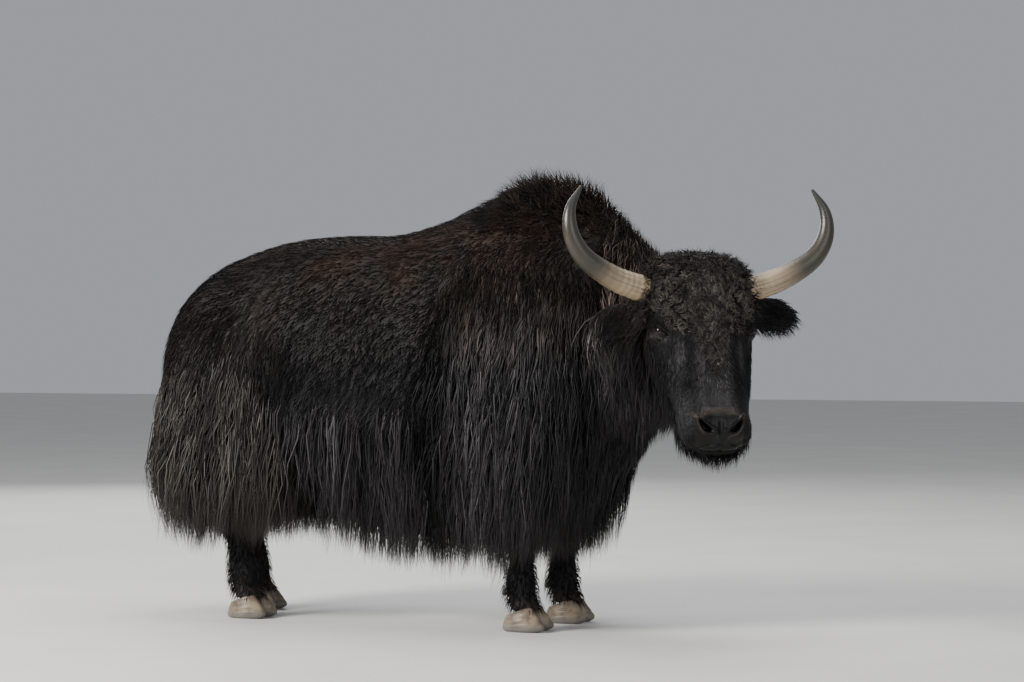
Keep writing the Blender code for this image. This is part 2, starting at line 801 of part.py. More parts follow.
def tail_piece(name, steps=8):
    rows = TAIL_ROWS
    last = rows[-1][0]
    rings = []
    for k in range(steps + 1):
        x, half_width, half_depth, z = interpolate(rows, last * k / steps)
        rings.append(
            oval_ring(Vector((TAIL_ROOT_X + x, 0, z)), Vector((0, 1, 0)), Vector((1, 0, 0)),
                      half_width, half_depth, half_depth, count=14)
        )
    return loft(name, rings)


# Materials and the finished nodes

def material(name, colour, roughness, metallic=0.0):
    made = bpy.data.materials.new(name)
    made.use_nodes = True
    shader = made.node_tree.nodes["Principled BSDF"]
    shader.inputs["Base Color"].default_value = (*colour, 1.0)
    shader.inputs["Roughness"].default_value = roughness
    shader.inputs["Metallic"].default_value = metallic
    made.diffuse_color = (*colour, 1.0)
    return made


def finish_node(obj, finish):
    keep_largest(obj)
    obj.data.transform(Matrix.Translation(FORE_FEET))
    obj.data.materials.clear()
    obj.data.materials.append(finish)
    obj.data.shade_smooth()
    obj.data.set_sharp_from_angle(angle=math.radians(50))
    return obj


# The borders of the hanging coat, which has nodes of its own: side, height and ends of each region

APRON_TOP = 0.70
APRON_FRONT = 0.150
APRON_SIDE = 0.060
SKIRT_TOP = 0.60
SKIRT_SIDE = 0.190
BREECH_TOP = 0.68
BREECH_SIDE = 0.070
FAR = 1.0


def block(low, high):
    """A box between two corners."""
    low, high = Vector(low), Vector(high)
    made = bmesh.new()
    bmesh.ops.create_cube(made, size=1.0)
    mesh = bpy.data.meshes.new("block")
    made.to_mesh(mesh)
    made.free()
    mesh.transform(Matrix.Translation((low + high) / 2) @ Matrix.Diagonal((*(high - low), 1.0)))
    obj = bpy.data.objects.new("block", mesh)
    bpy.context.scene.collection.objects.link(obj)
    return obj


def region(side, start, end, inner, top, more=0.0):
    """The box below and outside which the hanging coat of one side lies."""
    inside, outside = side * (inner - more), side * FAR
    low = (start - more, min(inside, outside), -0.2)
    high = (end + more, max(inside, outside), top + more)
    return block(low, high)


def neck_zone():
    """The space that the neck's node has to itself: all before the chest, down to the ruff's border."""
    upper = block((NECK_BORDER - GAP / 2, -FAR, RUFF_BORDER - GAP / 2), (FAR, FAR, 2.0))
    lower = block((RUFF_FRONT - GAP / 2, -FAR, -0.2), (FAR, FAR, RUFF_BORDER + 0.1))
    return [upper, lower]


def tail_zone(more):
    """The upright slot behind the rump in which the tail's hair hangs."""
    return block((-2.0, -TAIL_SLOT_SIDE - more, -0.2), (TAIL_SLOT_FRONT + more, TAIL_SLOT_SIDE + more, TAIL_SLOT_TOP + more))


def trunk_zone():
    """The space that the neck's node keeps out of."""
    upper = block((-FAR, -FAR, -0.2), (NECK_BORDER + GAP / 2, FAR, 2.0))
    lower = block((-FAR, -FAR, -0.2), (RUFF_FRONT + GAP / 2, FAR, RUFF_BORDER + GAP / 2))
    return [upper, lower]


def copy_of(obj, name):
    copy = bpy.data.objects.new(name, obj.data.copy())
    bpy.context.scene.collection.objects.link(copy)
    return copy


def keep_inside(obj, box):
    apply_boolean(obj, "INTERSECT", other=box)
    remove([box])
    return obj


def side_name(side):
    return "left" if side > 0 else "right"


def hanging_coat(name, core, side, box_sizes, locks):
    """The part of a core inside its region, with the locks that hang from it."""
    coat = copy_of(core, f"{name}_{side_name(side)}")
    keep_inside(coat, region(side, *box_sizes, -GAP / 2))
    join_pieces(coat, locks)
    return coat


def apron_locks(core, side):
    outward = 90 * side
    front, back = outward - 86 * side, outward + 78 * side
    within = (SHOULDER_SPLIT + 0.02, APRON_FRONT)
    upper = fan(-0.03, side * 0.20, 0.615, outward - 55 * side, back, 6)
    lower = fan(-0.03, side * 0.20, 0.455, front, back, 9)
    inner = fan(-0.03, side * 0.20, 0.400, front - 40 * side, front - 150 * side, 3)
    locks = locks_from(core, upper, 0.27, 0.100, 0.024, (0, 0, 0), keep_within=within)
    locks += locks_from(core, lower, 0.25, 0.088, 0.022, (0, 0, 0), tip_height=APRON_TIP_HEIGHT, keep_within=within)
    locks += locks_from(core, inner, 0.16, 0.085, 0.020, (0, 0, 0), keep_within=within)
    return locks


def skirt_locks(core, side):
    start, end = THIGH_SPLIT + 0.035, SHOULDER_SPLIT - 0.035
    within = (start - 0.01, end + 0.01)
    upper = row_of(start, end, 0.555, side, 5)
    lower = row_of(start, end, 0.500, side, 7, 0.008)
    locks = locks_from(core, upper, 0.24, 0.105, 0.024, (0, 0, 0), keep_within=within)
    locks += locks_from(core, lower, 0.25, 0.092, 0.022, (0, 0, 0), tip_height=SKIRT_TIP_HEIGHT, keep_within=within)
    return locks


def breech_locks(core, side):
    outward = 90 * side
    front, back = outward - 76 * side, outward + 84 * side
    within = (-2.0, THIGH_SPLIT - 0.02)
    upper = fan(-1.00, side * 0.19, 0.600, front, back, 7)
    lower = fan(-0.98, side * 0.19, 0.440, front, back, 9)
    locks = locks_from(core, upper, 0.27, 0.108, 0.024, (0, 0, 0), keep_within=within)
    locks += locks_from(core, lower, 0.25, 0.092, 0.022, (0, 0, 0), tip_height=THIGH_TIP_HEIGHT, keep_within=within,
                        rear_rise=0.55)
    return locks


def neck_locks(core):
    """The mane down both sides of the neck, and the ruff under the throat."""
    within = (0.300, 0.70)
    locks = []
    for side in (-1, 1):
        for height, count, length in ((1.02, 3, 0.26), (0.80, 3, 0.22)):
            roots = []
            for k in range(count):
                x, y, z, _, above, _ = interpolate(NECK_ROWS, 0.26 + 0.48 * k / (count - 1))
                rise = height + LOOSE.uniform(-0.02, 0.02) - 0.035 * k
                roots.append(((x, y, min(rise, z + above * 0.75)), (0.35 * side * y, side, 0)))
            locks += locks_from(core, roots, length, 0.095, 0.022, (-0.10, 0, 0), keep_within=within)
    for share, length in ((0.36, 0.058), (0.56, 0.048), (0.76, 0.040)):
        x, y, z = interpolate(NECK_ROWS, share)[:3]
        roots = [((x, y, z - 0.05), (0, side * 0.55, -1)) for side in (-1, 1)]
        locks += locks_from(core, roots, length, 0.080, 0.020, (0, 0, 0), keep_within=within)
    return locks


def tail_locks(core):
    locks = []
    within = (-1.6, TAIL_SLOT_FRONT - 0.022)
    for z, count, length in ((0.820, 3, 0.24), (0.640, 4, 0.24), (0.490, 5, 0.22)):
        roots = fan(TAIL_ROOT_X - 0.03, 0, z, 95, 265, count)
        locks += locks_from(core, roots, length, 0.062, 0.020, (0, 0, 0), keep_within=within)
    return locks


def build():
    for obj in list(bpy.data.objects):
        bpy.data.objects.remove(obj)

    black = material("coat_black", COAT_BLACK, 0.62)
    brown = material("coat_brown", COAT_BROWN, 0.70)
    horn = material("horn", HORN_GREY, 0.35)
    hoof = material("hoof", HOOF_TAN, 0.50)
    eye = material("eye", EYE_BROWN, 0.08)
    sides = (-1, 1)

    eyes = [eye_piece(side) for side in sides]
    horns = [horn_piece(side) for side in sides]
    ears = [ear_piece(side) for side in sides]
    head = head_piece("head")
    groove = mouth_groove(head)
    features = curl_pieces(head) + beard_locks(head) + [lids_piece(side) for side in sides]
    features.append(lip_piece("lower_lip", HEAD_LENGTH - 0.035, -0.128, 0.060, 0.024))
    join_pieces(head, features)
    cut_away(head, [groove] + [nostril_cutter(side) for side in sides])
    cut_away(head, [grown(piece) for piece in eyes + horns + ears])
    keep_largest(head)
    for ear, side in zip(ears, sides):
        cut_ear_cup(ear, side)

    neck = neck_piece("neck")
    join_pieces(neck, neck_locks(neck))
    cut_away(neck, [grown(piece) for piece in [head] + horns + ears])
    cut_away(neck, trunk_zone())
    keep_largest(neck)

    hooves = [claw_piece(foot, claw) for foot in FEET for claw in ("outer", "inner")]
    dewclaws = {foot: [dewclaw_piece(foot, claw) for claw in ("outer", "inner")] for foot in FEET}
    limbs = {foot: limb_piece(foot) for foot in FEET}

    tail = tail_piece("tail")
    tail_core = copy_of(tail, "tail_core")
    join_pieces(tail, tail_locks(tail))
    keep_inside(tail, block((-2.0, -TAIL_SLOT_SIDE + GAP, -0.2), (0.0, TAIL_SLOT_SIDE - GAP, 2.0)))
    keep_largest(tail)

    shoulders = trunk_piece("torso_shoulders", SHOULDER_SPLIT - 0.05, CHEST_END, 9)
    join_pieces(shoulders, [coat_mass("apron", APRON_ROWS, side) for side in sides])
    cut_away(shoulders, [far_side((SHOULDER_SPLIT, 0, 0), (-1, 0, 0))])
    apron_box = (SHOULDER_SPLIT - 0.1, 0.60, APRON_SIDE, APRON_TOP)
    aprons = [hanging_coat("apron", shoulders, side, apron_box, apron_locks(shoulders, side)) for side in sides]
    cut_away(shoulders, [region(side, *apron_box, GAP / 2) for side in sides])
    cut_away(shoulders, neck_zone())

    barrel = trunk_piece("torso_barrel", THIGH_SPLIT - 0.05, SHOULDER_SPLIT + 0.05, 6)
    cut_away(barrel, [far_side((SHOULDER_SPLIT, 0, 0), (1, 0, 0)), far_side((THIGH_SPLIT, 0, 0), (-1, 0, 0))])
    skirt_box = (THIGH_SPLIT - 0.1, SHOULDER_SPLIT + 0.1, SKIRT_SIDE, SKIRT_TOP)
    skirts = [hanging_coat("skirt", barrel, side, skirt_box, skirt_locks(barrel, side)) for side in sides]
    cut_away(barrel, [region(side, *skirt_box, GAP / 2) for side in sides])

    rear = trunk_piece("torso_hindquarters", RUMP_END, THIGH_SPLIT + 0.05, 9)
    join_pieces(rear, [coat_mass("thigh", THIGH_ROWS, side) for side in sides])
    cut_away(rear, [far_side((THIGH_SPLIT, 0, 0), (1, 0, 0))])
    breech_box = (-1.6, THIGH_SPLIT + 0.1, BREECH_SIDE, BREECH_TOP)
    breeches = [hanging_coat("breech", rear, side, breech_box, breech_locks(rear, side)) for side in sides]
    cut_away(rear, [region(side, *breech_box, GAP / 2) for side in sides])

    for coats, trunk in ((aprons, shoulders), (skirts, barrel), (breeches, rear)):
        for coat in coats:
            cut_away(coat, [grown(trunk, GAP * 0.6)])
    for side, apron, skirt, breech in zip(sides, aprons, skirts, breeches):
        cut_away(apron, [grown(limbs["fore_" + side_name(side)])] + neck_zone())
        cut_away(apron, [far_side((SHOULDER_SPLIT, 0, 0), (-1, 0, 0))])
        cut_away(skirt, [far_side((SHOULDER_SPLIT, 0, 0), (1, 0, 0)), far_side((THIGH_SPLIT, 0, 0), (-1, 0, 0))])
        cut_away(breech, [grown(limbs["hind_" + side_name(side)]), tail_zone(GAP), grown(tail_core)])
        cut_away(breech, [far_side((THIGH_SPLIT, 0, 0), (1, 0, 0))])
    cut_away(shoulders, [grown(limbs[foot]) for foot in ("fore_right", "fore_left")])
    cut_away(rear, [tail_zone(GAP), grown(tail_core), grown(limbs["hind_right"]), grown(limbs["hind_left"])])
    remove([tail_core])
    for foot, limb in limbs.items():
        cut_away(limb, [grown(dewclaw) for dewclaw in dewclaws[foot]])

    finishes = [(eyes, eye), (horns, horn), (ears, black), ([head, neck, tail], black), (hooves, hoof)]
    finishes += [(pair, hoof) for pair in dewclaws.values()]
    finishes += [(limbs.values(), black), ([shoulders, barrel, rear], brown)]
    finishes += [(aprons + skirts + breeches, black)]
    animal = bpy.data.collections.new("yak")
    bpy.context.scene.collection.children.link(animal)
    for pieces, finish in finishes:
        for obj in pieces:
            bpy.context.scene.collection.objects.unlink(obj)
            animal.objects.link(obj)
            finish_node(obj, finish)


build()
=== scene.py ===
"""The looks of a life-size black yak bull: skin, coat, head, horns, eyes and hooves, laid out as a
Blender add-on that is run as a script.

Metres, +Z up, +X along the body towards the chest, +Y to the animal's left. Shapes are made in body
coordinates, counted from the point midway between the fore hooves, and moved into the model's frame.
"""
import math

import bmesh
import bpy
import numpy as np
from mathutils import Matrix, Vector
from mathutils.bvhtree import BVHTree


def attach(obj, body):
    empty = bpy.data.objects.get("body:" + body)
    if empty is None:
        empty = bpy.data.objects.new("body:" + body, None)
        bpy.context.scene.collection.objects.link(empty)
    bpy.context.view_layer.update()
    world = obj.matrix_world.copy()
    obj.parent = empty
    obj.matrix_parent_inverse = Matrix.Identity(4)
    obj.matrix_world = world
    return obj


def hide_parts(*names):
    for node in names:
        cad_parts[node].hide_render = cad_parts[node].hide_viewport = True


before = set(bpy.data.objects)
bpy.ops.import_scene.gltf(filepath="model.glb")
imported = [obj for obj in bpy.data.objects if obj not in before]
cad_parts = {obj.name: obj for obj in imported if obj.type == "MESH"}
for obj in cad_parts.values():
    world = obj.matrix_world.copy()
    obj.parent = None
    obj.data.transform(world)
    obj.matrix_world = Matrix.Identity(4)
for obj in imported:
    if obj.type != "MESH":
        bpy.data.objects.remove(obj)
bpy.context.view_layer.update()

bl_info = {
    "name": "Yak bull",
    "version": (1, 0, 0),
    "blender": (4, 5, 0),
    "location": "View3D > Sidebar > Yak",
    "description": "Builds the skin, coat, head, horns, eyes and hooves of a standing yak bull",
    "category": "Object",
}

FORE_FEET = np.array((0.2497, 0.0457, 0.0))

# The head's own axes: u runs from poll to muzzle, v out of the face, w to the animal's left
HEAD_LENGTH = 0.542
POLL = np.array((0.557, -0.1955, 1.085))
HEAD_YAW = math.radians(-53.0)
HEAD_PITCH = math.radians(65.0)
FACING = np.array((math.cos(HEAD_YAW), math.sin(HEAD_YAW), 0.0))
UP = np.array((0.0, 0.0, 1.0))
HEAD_AXES = np.array((
    FACING * math.cos(HEAD_PITCH) - UP * math.sin(HEAD_PITCH),
    FACING * math.sin(HEAD_PITCH) + UP * math.cos(HEAD_PITCH),
    (-math.sin(HEAD_YAW), math.cos(HEAD_YAW), 0.0),
))
EYE = np.array((0.195, -0.034, 0.127))
EYE_RADIUS = 0.0240
LID_LONG = 0.0240
LID_HIGH = 0.0118
NOSTRIL = np.array((0.499, -0.014, 0.049))
NOSTRIL_SLANT = 0.76
MOUTH_DEPTH = -0.070

FEET = {
    "fore_right": (-0.012, -0.138),
    "fore_left": (0.012, 0.138),
    "hind_right": (-0.962, -0.112),
    "hind_left": (-1.050, 0.120),
}
CLAW_HEIGHT = 0.070


def foot_place(foot):
    foot_x, foot_y = FEET[foot]
    return foot_x, foot_y, math.copysign(1, foot_y)


SKIN_GRID = 0.0105

FLESH_NODES = (
    ["torso_shoulders", "torso_barrel", "torso_hindquarters"]
    + ["neck", "head", "tail", "ear_left", "ear_right"]
    + ["leg_" + foot for foot in FEET]
)


# Numbers and meshes

def rows_at(rows, at):
    """The rows of sizes at these places, on a smooth curve. The first column is the place."""
    table = np.array(rows, float)
    places = table[:, 0]
    at = np.clip(np.asarray(at, float), places[0], places[-1])
    i = np.clip(np.searchsorted(places, at) - 1, 0, len(places) - 2)
    slopes = np.gradient(table[:, 1:], places, axis=0)
    step = (places[i + 1] - places[i])[..., None]
    t = (at - places[i])[..., None] / step
    return (
        (2 * t**3 - 3 * t**2 + 1) * table[i, 1:]
        + (t**3 - 2 * t**2 + t) * step * slopes[i]
        + (3 * t**2 - 2 * t**3) * table[i + 1, 1:]
        + (t**3 - t**2) * step * slopes[i + 1]
    )


def unit(vectors):
    vectors = np.asarray(vectors, float)
    return vectors / np.maximum(np.linalg.norm(vectors, axis=-1, keepdims=True), 1e-9)


def smooth(low, high, value):
    """0 below low, 1 above high, with an easy slope between."""
    t = np.clip((np.asarray(value, float) - low) / (high - low), 0.0, 1.0)
    return t * t * (3 - 2 * t)


def bump(distance, reach):
    """1 at the middle of a soft mound and 0 past its reach."""
    return 1.0 - smooth(0.0, reach, distance)


def cells_of(place, cell, shift=10.0):
    """The first place in each cell of a grid, and the cell that each place lies in."""
    keys = np.floor((place + shift) / cell).astype(np.int64) @ np.array((1, 100003, 1000003007))
    _, first, member = np.unique(keys, return_index=True, return_inverse=True)
    return first, member.reshape(-1)


def head_to_body(points):
    return POLL + np.asarray(points, float) @ HEAD_AXES


def body_to_head(points):
    return (np.asarray(points, float) - POLL) @ HEAD_AXES.T


def angles(count):
    return 2 * math.pi * np.arange(count) / count


def ovals(centres, across, up, half_across, half_up, half_down, power_up=2.0, power_down=2.0, count=32):
    """Rings of points, each an oval in the plane of across and up with its own fullness above and below."""
    centres = np.atleast_2d(centres)
    n = len(centres)
    across, up = np.broadcast_to(across, (n, 3)), np.broadcast_to(up, (n, 3))
    sizes = [np.broadcast_to(np.asarray(v, float), (n,))[:, None] for v in
             (half_across, half_up, half_down, power_up, power_down)]
    angle = angles(count)
    c, s = np.cos(angle)[None, :], np.sin(angle)[None, :]
    power = np.where(s >= 0, sizes[3], sizes[4])
    height = np.where(s >= 0, sizes[1], sizes[2])
    side = np.sign(c) * np.abs(c) ** (2 / power) * sizes[0]
    rise = np.sign(s) * np.abs(s) ** (2 / power) * height
    return centres[:, None, :] + across[:, None, :] * side[..., None] + up[:, None, :] * rise[..., None]


def loft(rings):
    """Points and faces of a closed skin over rings of equal count, with a pole at each end."""
    rings = np.asarray(rings, float)
    n, count = rings.shape[:2]
    points = np.vstack([rings.reshape(-1, 3), rings[0].mean(0), rings[-1].mean(0)])
    faces = []
    for r in range(n - 1):
        for k in range(count):
            a, b = r * count + k, r * count + (k + 1) % count
            faces.append((a, b, b + count, a + count))
    first, last = n * count, n * count + 1
    for k in range(count):
        faces.append((first, (k + 1) % count, k))
        faces.append((last, (n - 1) * count + k, (n - 1) * count + (k + 1) % count))
    return points, faces


def mesh_of(name, points, faces, outward=True):
    """A mesh whose faces point outwards."""
    mesh = bpy.data.meshes.new(name)
    mesh.from_pydata(np.asarray(points, float).tolist(), [], faces)
    if outward:
        made = bmesh.new()
        made.from_mesh(mesh)
        bmesh.ops.recalc_face_normals(made, faces=made.faces)
        made.to_mesh(mesh)
        made.free()
    return mesh


def link(name, mesh):
    obj = bpy.data.objects.new(name, mesh)
    bpy.context.scene.collection.objects.link(obj)
    return obj


def read(rows, key, width, kind=float):
    """One value of every row of a mesh, as an array of this width."""
    values = np.empty(len(rows) * width, kind)
    rows.foreach_get(key, values)
    return values.reshape(-1, width)


def corners_of(mesh):
    return read(mesh.vertices, "co", 3)


def set_corners(mesh, points):
    mesh.vertices.foreach_set("co", np.asarray(points, float).ravel())
    mesh.update()


def normals_of(mesh):
    return read(mesh.vertices, "normal", 3)


def merged(name, shapes):
    """One mesh object of several closed skins."""
    points, faces, base = [], [], 0
    for some_points, some_faces in shapes:
        points.append(some_points)
        faces += [tuple(base + i for i in face) for face in some_faces]
        base += len(some_points)
    return link(name, mesh_of(name, np.vstack(points), faces))


def baked(obj):
    """The object's mesh with its modifiers applied."""
    bpy.context.view_layer.update()
    graph = bpy.context.evaluated_depsgraph_get()
    mesh = bpy.data.meshes.new_from_object(obj.evaluated_get(graph))
    obj.modifiers.clear()
    obj.data = mesh
    return mesh


def united(base, others):
    """The base joined with other closed meshes into one closed surface."""
    for other in others:
        joint = base.modifiers.new("join", "BOOLEAN")
        joint.operation = "UNION"
        joint.solver = "MANIFOLD"
        joint.object = other
        baked(base)
        bpy.data.objects.remove(other)
    return base


def relax(mesh, weights, rounds, pull=0.5):
    """Evens a mesh out by moving each corner towards its neighbours' middle."""
    points = corners_of(mesh)
    a, b = read(mesh.edges, "vertices", 2, np.int64).T
    counts = np.maximum(np.bincount(np.concatenate([a, b]), minlength=len(points)), 1)[:, None]
    for _ in range(rounds):
        total = np.zeros_like(points)
        for axis in range(3):
            total[:, axis] = (
                np.bincount(a, points[b, axis], len(points)) + np.bincount(b, points[a, axis], len(points))
            )
        points += (total / counts - points) * pull * weights[:, None]
    set_corners(mesh, points)


def put_attribute(mesh, name, values):
    attribute = mesh.attributes.new(name, "FLOAT", "POINT")
    attribute.data.foreach_set("value", np.asarray(values, np.float32))


def finished(obj, finish, slot, *nodes):
    """Gives a piece its material and puts it on the animal's one body. The slot is not used."""
    obj.data.materials.append(finish)
    set_corners(obj.data, corners_of(obj.data) + FORE_FEET)
    obj.data.shade_smooth()
    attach(obj, "root")
    if nodes:
        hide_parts(*nodes)
    return obj


# The body under the coat

# x, top, height of the widest place, bottom, half width, fullness above
TRUNK_ROWS = [
    (-1.275, 0.865, 0.71, 0.56, 0.100, 2.2),
    (-1.225, 0.975, 0.71, 0.51, 0.180, 2.2),
    (-1.130, 1.068, 0.72, 0.49, 0.240, 2.2),
    (-0.960, 1.146, 0.73, 0.49, 0.272, 2.2),
    (-0.700, 1.188, 0.74, 0.49, 0.284, 2.2),
    (-0.460, 1.192, 0.75, 0.48, 0.288, 2.1),
    (-0.320, 1.230, 0.76, 0.47, 0.296, 1.9),
    (-0.160, 1.298, 0.78, 0.46, 0.290, 1.7),
    (0.000, 1.338, 0.80, 0.46, 0.278, 1.6),
    (0.110, 1.316, 0.82, 0.46, 0.252, 1.6),
    (0.220, 1.246, 0.84, 0.47, 0.212, 1.7),
    (0.310, 1.120, 0.84, 0.55, 0.125, 1.9),
]
# Height, x, half length, distance from the middle, half depth of the upper fore and hind limbs
SHOULDER_ROWS = [
    (0.430, -0.010, 0.070, 0.165, 0.055),
    (0.520, -0.025, 0.110, 0.180, 0.085),
    (0.680, -0.015, 0.160, 0.190, 0.105),
    (0.880, 0.010, 0.170, 0.180, 0.095),
    (1.040, 0.030, 0.120, 0.140, 0.060),
]
THIGH_ROWS = [
    (0.430, -1.000, 0.085, 0.150, 0.055),
    (0.520, -0.990, 0.130, 0.175, 0.085),
    (0.680, -1.010, 0.180, 0.190, 0.100),
    (0.850, -1.020, 0.160, 0.180, 0.090),
    (0.980, -1.020, 0.100, 0.140, 0.060),
]
# Share, x, y, z, half width, half height above and below
NECK_ROWS = [
    (0.00, 0.120, 0.000, 0.850, 0.205, 0.435, 0.340),
    (0.30, 0.255, -0.010, 0.845, 0.170, 0.350, 0.275),
    (0.60, 0.375, -0.050, 0.855, 0.142, 0.235, 0.225),
    (0.85, 0.465, -0.105, 0.872, 0.128, 0.180, 0.195),
    (1.00, 0.520, -0.150, 0.885, 0.112, 0.155, 0.170),
]
# Height, x and y from the foot, half length, half width
FORE_LIMB_ROWS = [
    (CLAW_HEIGHT - 0.008, 0.006, 0.000, 0.046, 0.051),
    (0.105, -0.008, 0.000, 0.040, 0.043),
    (0.140, -0.014, 0.000, 0.046, 0.045),
    (0.200, -0.012, 0.001, 0.037, 0.036),
    (0.300, -0.004, 0.004, 0.041, 0.039),
    (0.370, 0.010, 0.006, 0.050, 0.046),
    (0.460, 0.004, 0.012, 0.052, 0.048),
    (0.620, -0.010, 0.030, 0.072, 0.058),
]
HIND_LIMB_ROWS = [
    (CLAW_HEIGHT - 0.008, 0.004, 0.000, 0.046, 0.051),
    (0.105, -0.010, 0.000, 0.040, 0.043),
    (0.140, -0.018, 0.000, 0.047, 0.045),
    (0.210, -0.028, 0.003, 0.041, 0.036),
    (0.330, -0.052, 0.010, 0.049, 0.040),
    (0.420, -0.068, 0.018, 0.058, 0.041),
    (0.520, -0.020, 0.035, 0.080, 0.057),
    (0.640, 0.030, 0.060, 0.105, 0.067),
]
TAIL_ROOT = np.array((-1.250, 0.0, 0.955))


def trunk_shape():
    x = np.linspace(TRUNK_ROWS[0][0], TRUNK_ROWS[-1][0], 60)
    top, middle, bottom, half_width, fullness = rows_at(TRUNK_ROWS, x).T
    centres = np.stack([x, x * 0, middle], 1)
    above, below = top - middle, middle - bottom
    return loft(ovals(centres, (0, 1, 0), (0, 0, 1), half_width, above, below, fullness, 2.6, 64))


def side_mass_shape(rows, side):
    z = np.linspace(rows[0][0], rows[-1][0], 20)
    x, half_length, out, half_depth = rows_at(rows, z).T
    centres = np.stack([x, side * out, z], 1)
    return loft(ovals(centres, (1, 0, 0), (0, 1, 0), half_length, half_depth, half_depth, 2.2, 2.2, 40))


def neck_shape():
    share = np.linspace(0, 1, 20)
    x, y, z, half_width, above, below = rows_at(NECK_ROWS, share).T
    centres = np.stack([x, y, z], 1)
    along = unit(np.gradient(centres, axis=0) * (1, 1, 0))
    across = np.cross(UP, along)
    return loft(ovals(centres, across, UP, half_width, above, below, 1.9, 2.1, 48))


def limb_shape(foot):
    rows = FORE_LIMB_ROWS if foot.startswith("fore") else HIND_LIMB_ROWS
    foot_x, foot_y, side = foot_place(foot)
    z = np.linspace(rows[0][0], rows[-1][0], 44)
    x, out, half_length, half_width = rows_at(rows, z).T
    centres = np.stack([foot_x + x, foot_y + side * out, z], 1)
    return loft(ovals(centres, (1, 0, 0), (0, 1, 0), half_length, half_width, half_width, count=28))


def dock_shape():
    share = np.linspace(0, 1, 14)
    x = -0.03 * share + 0.05 * (1 - share) ** 2
    centres = TAIL_ROOT + np.stack([x, share * 0, 0.05 - 0.40 * share], 1)
    radius = 0.036 - 0.018 * share
    return loft(ovals(centres, (0, 1, 0), (1, 0, 0), radius, radius * 0.9, radius * 0.9, count=20))


# The head: u, face line, throat line, half width, fullness in front, fullness behind
HEAD_ROWS = [
    (-0.055, -0.050, -0.145, 0.079, 2.2, 2.0),
    (-0.030, 0.000, -0.185, 0.126, 2.4, 2.0),
    (0.030, 0.026, -0.210, 0.157, 2.7, 2.0),
    (0.110, 0.036, -0.220, 0.156, 2.7, 2.0),
    (0.200, 0.028, -0.218, 0.145, 2.4, 2.3),
    (0.290, 0.010, -0.200, 0.127, 2.1, 2.8),
    (0.380, -0.004, -0.172, 0.112, 2.0, 3.2),
    (0.445, -0.005, -0.150, 0.100, 2.3, 3.2),
    (0.496, -0.009, -0.143, 0.099, 2.5, 2.6),
    (0.525, -0.022, -0.128, 0.087, 2.3, 2.3),
    (HEAD_LENGTH, -0.044, -0.106, 0.058, 2.1, 2.1),
]


def head_rings(rings=118, count=132):
    """Rings in the head's own axes, close together at the muzzle and drawn in to a soft front."""
    start = HEAD_ROWS[0][0]
    u = start + (HEAD_LENGTH - start) * np.linspace(0, 1, rings) ** 0.92
    face, throat, half_width, front, back = rows_at(HEAD_ROWS, u).T
    middle = face - 0.42 * (face - throat)
    flat = ovals(np.stack([u, middle, u * 0], 1), (0, 0, 1), (0, 1, 0),
                 half_width, face - middle, middle - throat, front, back, count)
    last = flat[-1]
    centre = last.mean(0)
    cap = []
    for s in np.cos(np.linspace(0, math.pi / 2, 16))[1:-1]:
        ring = centre + (last - centre) * s
        ring[:, 0] = HEAD_LENGTH + 0.010 * math.sqrt(1 - s * s)
        cap.append(ring)
    first = flat[0]
    back_centre = first.mean(0)
    rear = []
    for s in np.cos(np.linspace(0, math.pi / 2, 10))[1:-1][::-1]:
        ring = back_centre + (first - back_centre) * s
        ring[:, 0] = start - 0.012 * math.sqrt(1 - s * s)
        rear.append(ring)
    return np.concatenate([np.array(rear), flat, np.array(cap)])


def eye_frame(side):
    """The eye's centre and its directions: out of the head, along the lids and across them, in head axes."""
    centre = EYE * (1, 1, side)
    out = unit(np.array((0.10, 0.62, side * 1.0)))
    long_way = np.array((0.85, 0.95, 0.0))
    long_way = unit(long_way - out * (long_way @ out))
    high_way = np.cross(out, long_way)
    high_way *= math.copysign(1, high_way[1])
    return centre, out, long_way, high_way


def eye_place(points, side):
    centre, out, long_way, high_way = eye_frame(side)
    rel = points - centre
    return rel @ long_way, rel @ high_way, rel @ out


def lid_measure(a, b):
    """1 on the edge of the lids, less on the eye, more on the skin around it."""
    high = np.where(b > 0, LID_HIGH, LID_HIGH * 0.78)
    pinch = 1.0 - 0.25 * np.clip(np.abs(a) / LID_LONG, 0, 1) ** 2
    return np.sqrt((a / np.where(a > 0, 1.20 * LID_LONG, LID_LONG)) ** 2 + (b / (high * pinch)) ** 2)


def nostril_measure(points, side):
    """1 on the edge of a nostril, which is a comma lying along the muzzle, wider at its lower end."""
    centre = NOSTRIL * (1, 1, side)
    rel = points - centre
    along = rel[:, 0] * math.cos(NOSTRIL_SLANT) - rel[:, 2] * side * math.sin(NOSTRIL_SLANT)
    across = rel[:, 0] * math.sin(NOSTRIL_SLANT) + rel[:, 2] * side * math.cos(NOSTRIL_SLANT)
    across = across + 9.0 * np.clip(along, -0.03, 0.03) ** 2
    half = 0.0078 + 0.10 * np.clip(along, -0.026, 0.018)
    near = np.abs(rel[:, 1]) < 0.05
    measure = np.sqrt((along / 0.0275) ** 2 + (across / np.maximum(half, 0.003)) ** 2)
    return np.where(near, measure, 9.0)


def mouth_gap(u, v):
    """How far a place lies in front of the mouth's line, which climbs towards the cheek."""
    return v - (MOUTH_DEPTH - 0.16 * np.clip(0.47 - u, 0, 0.2))


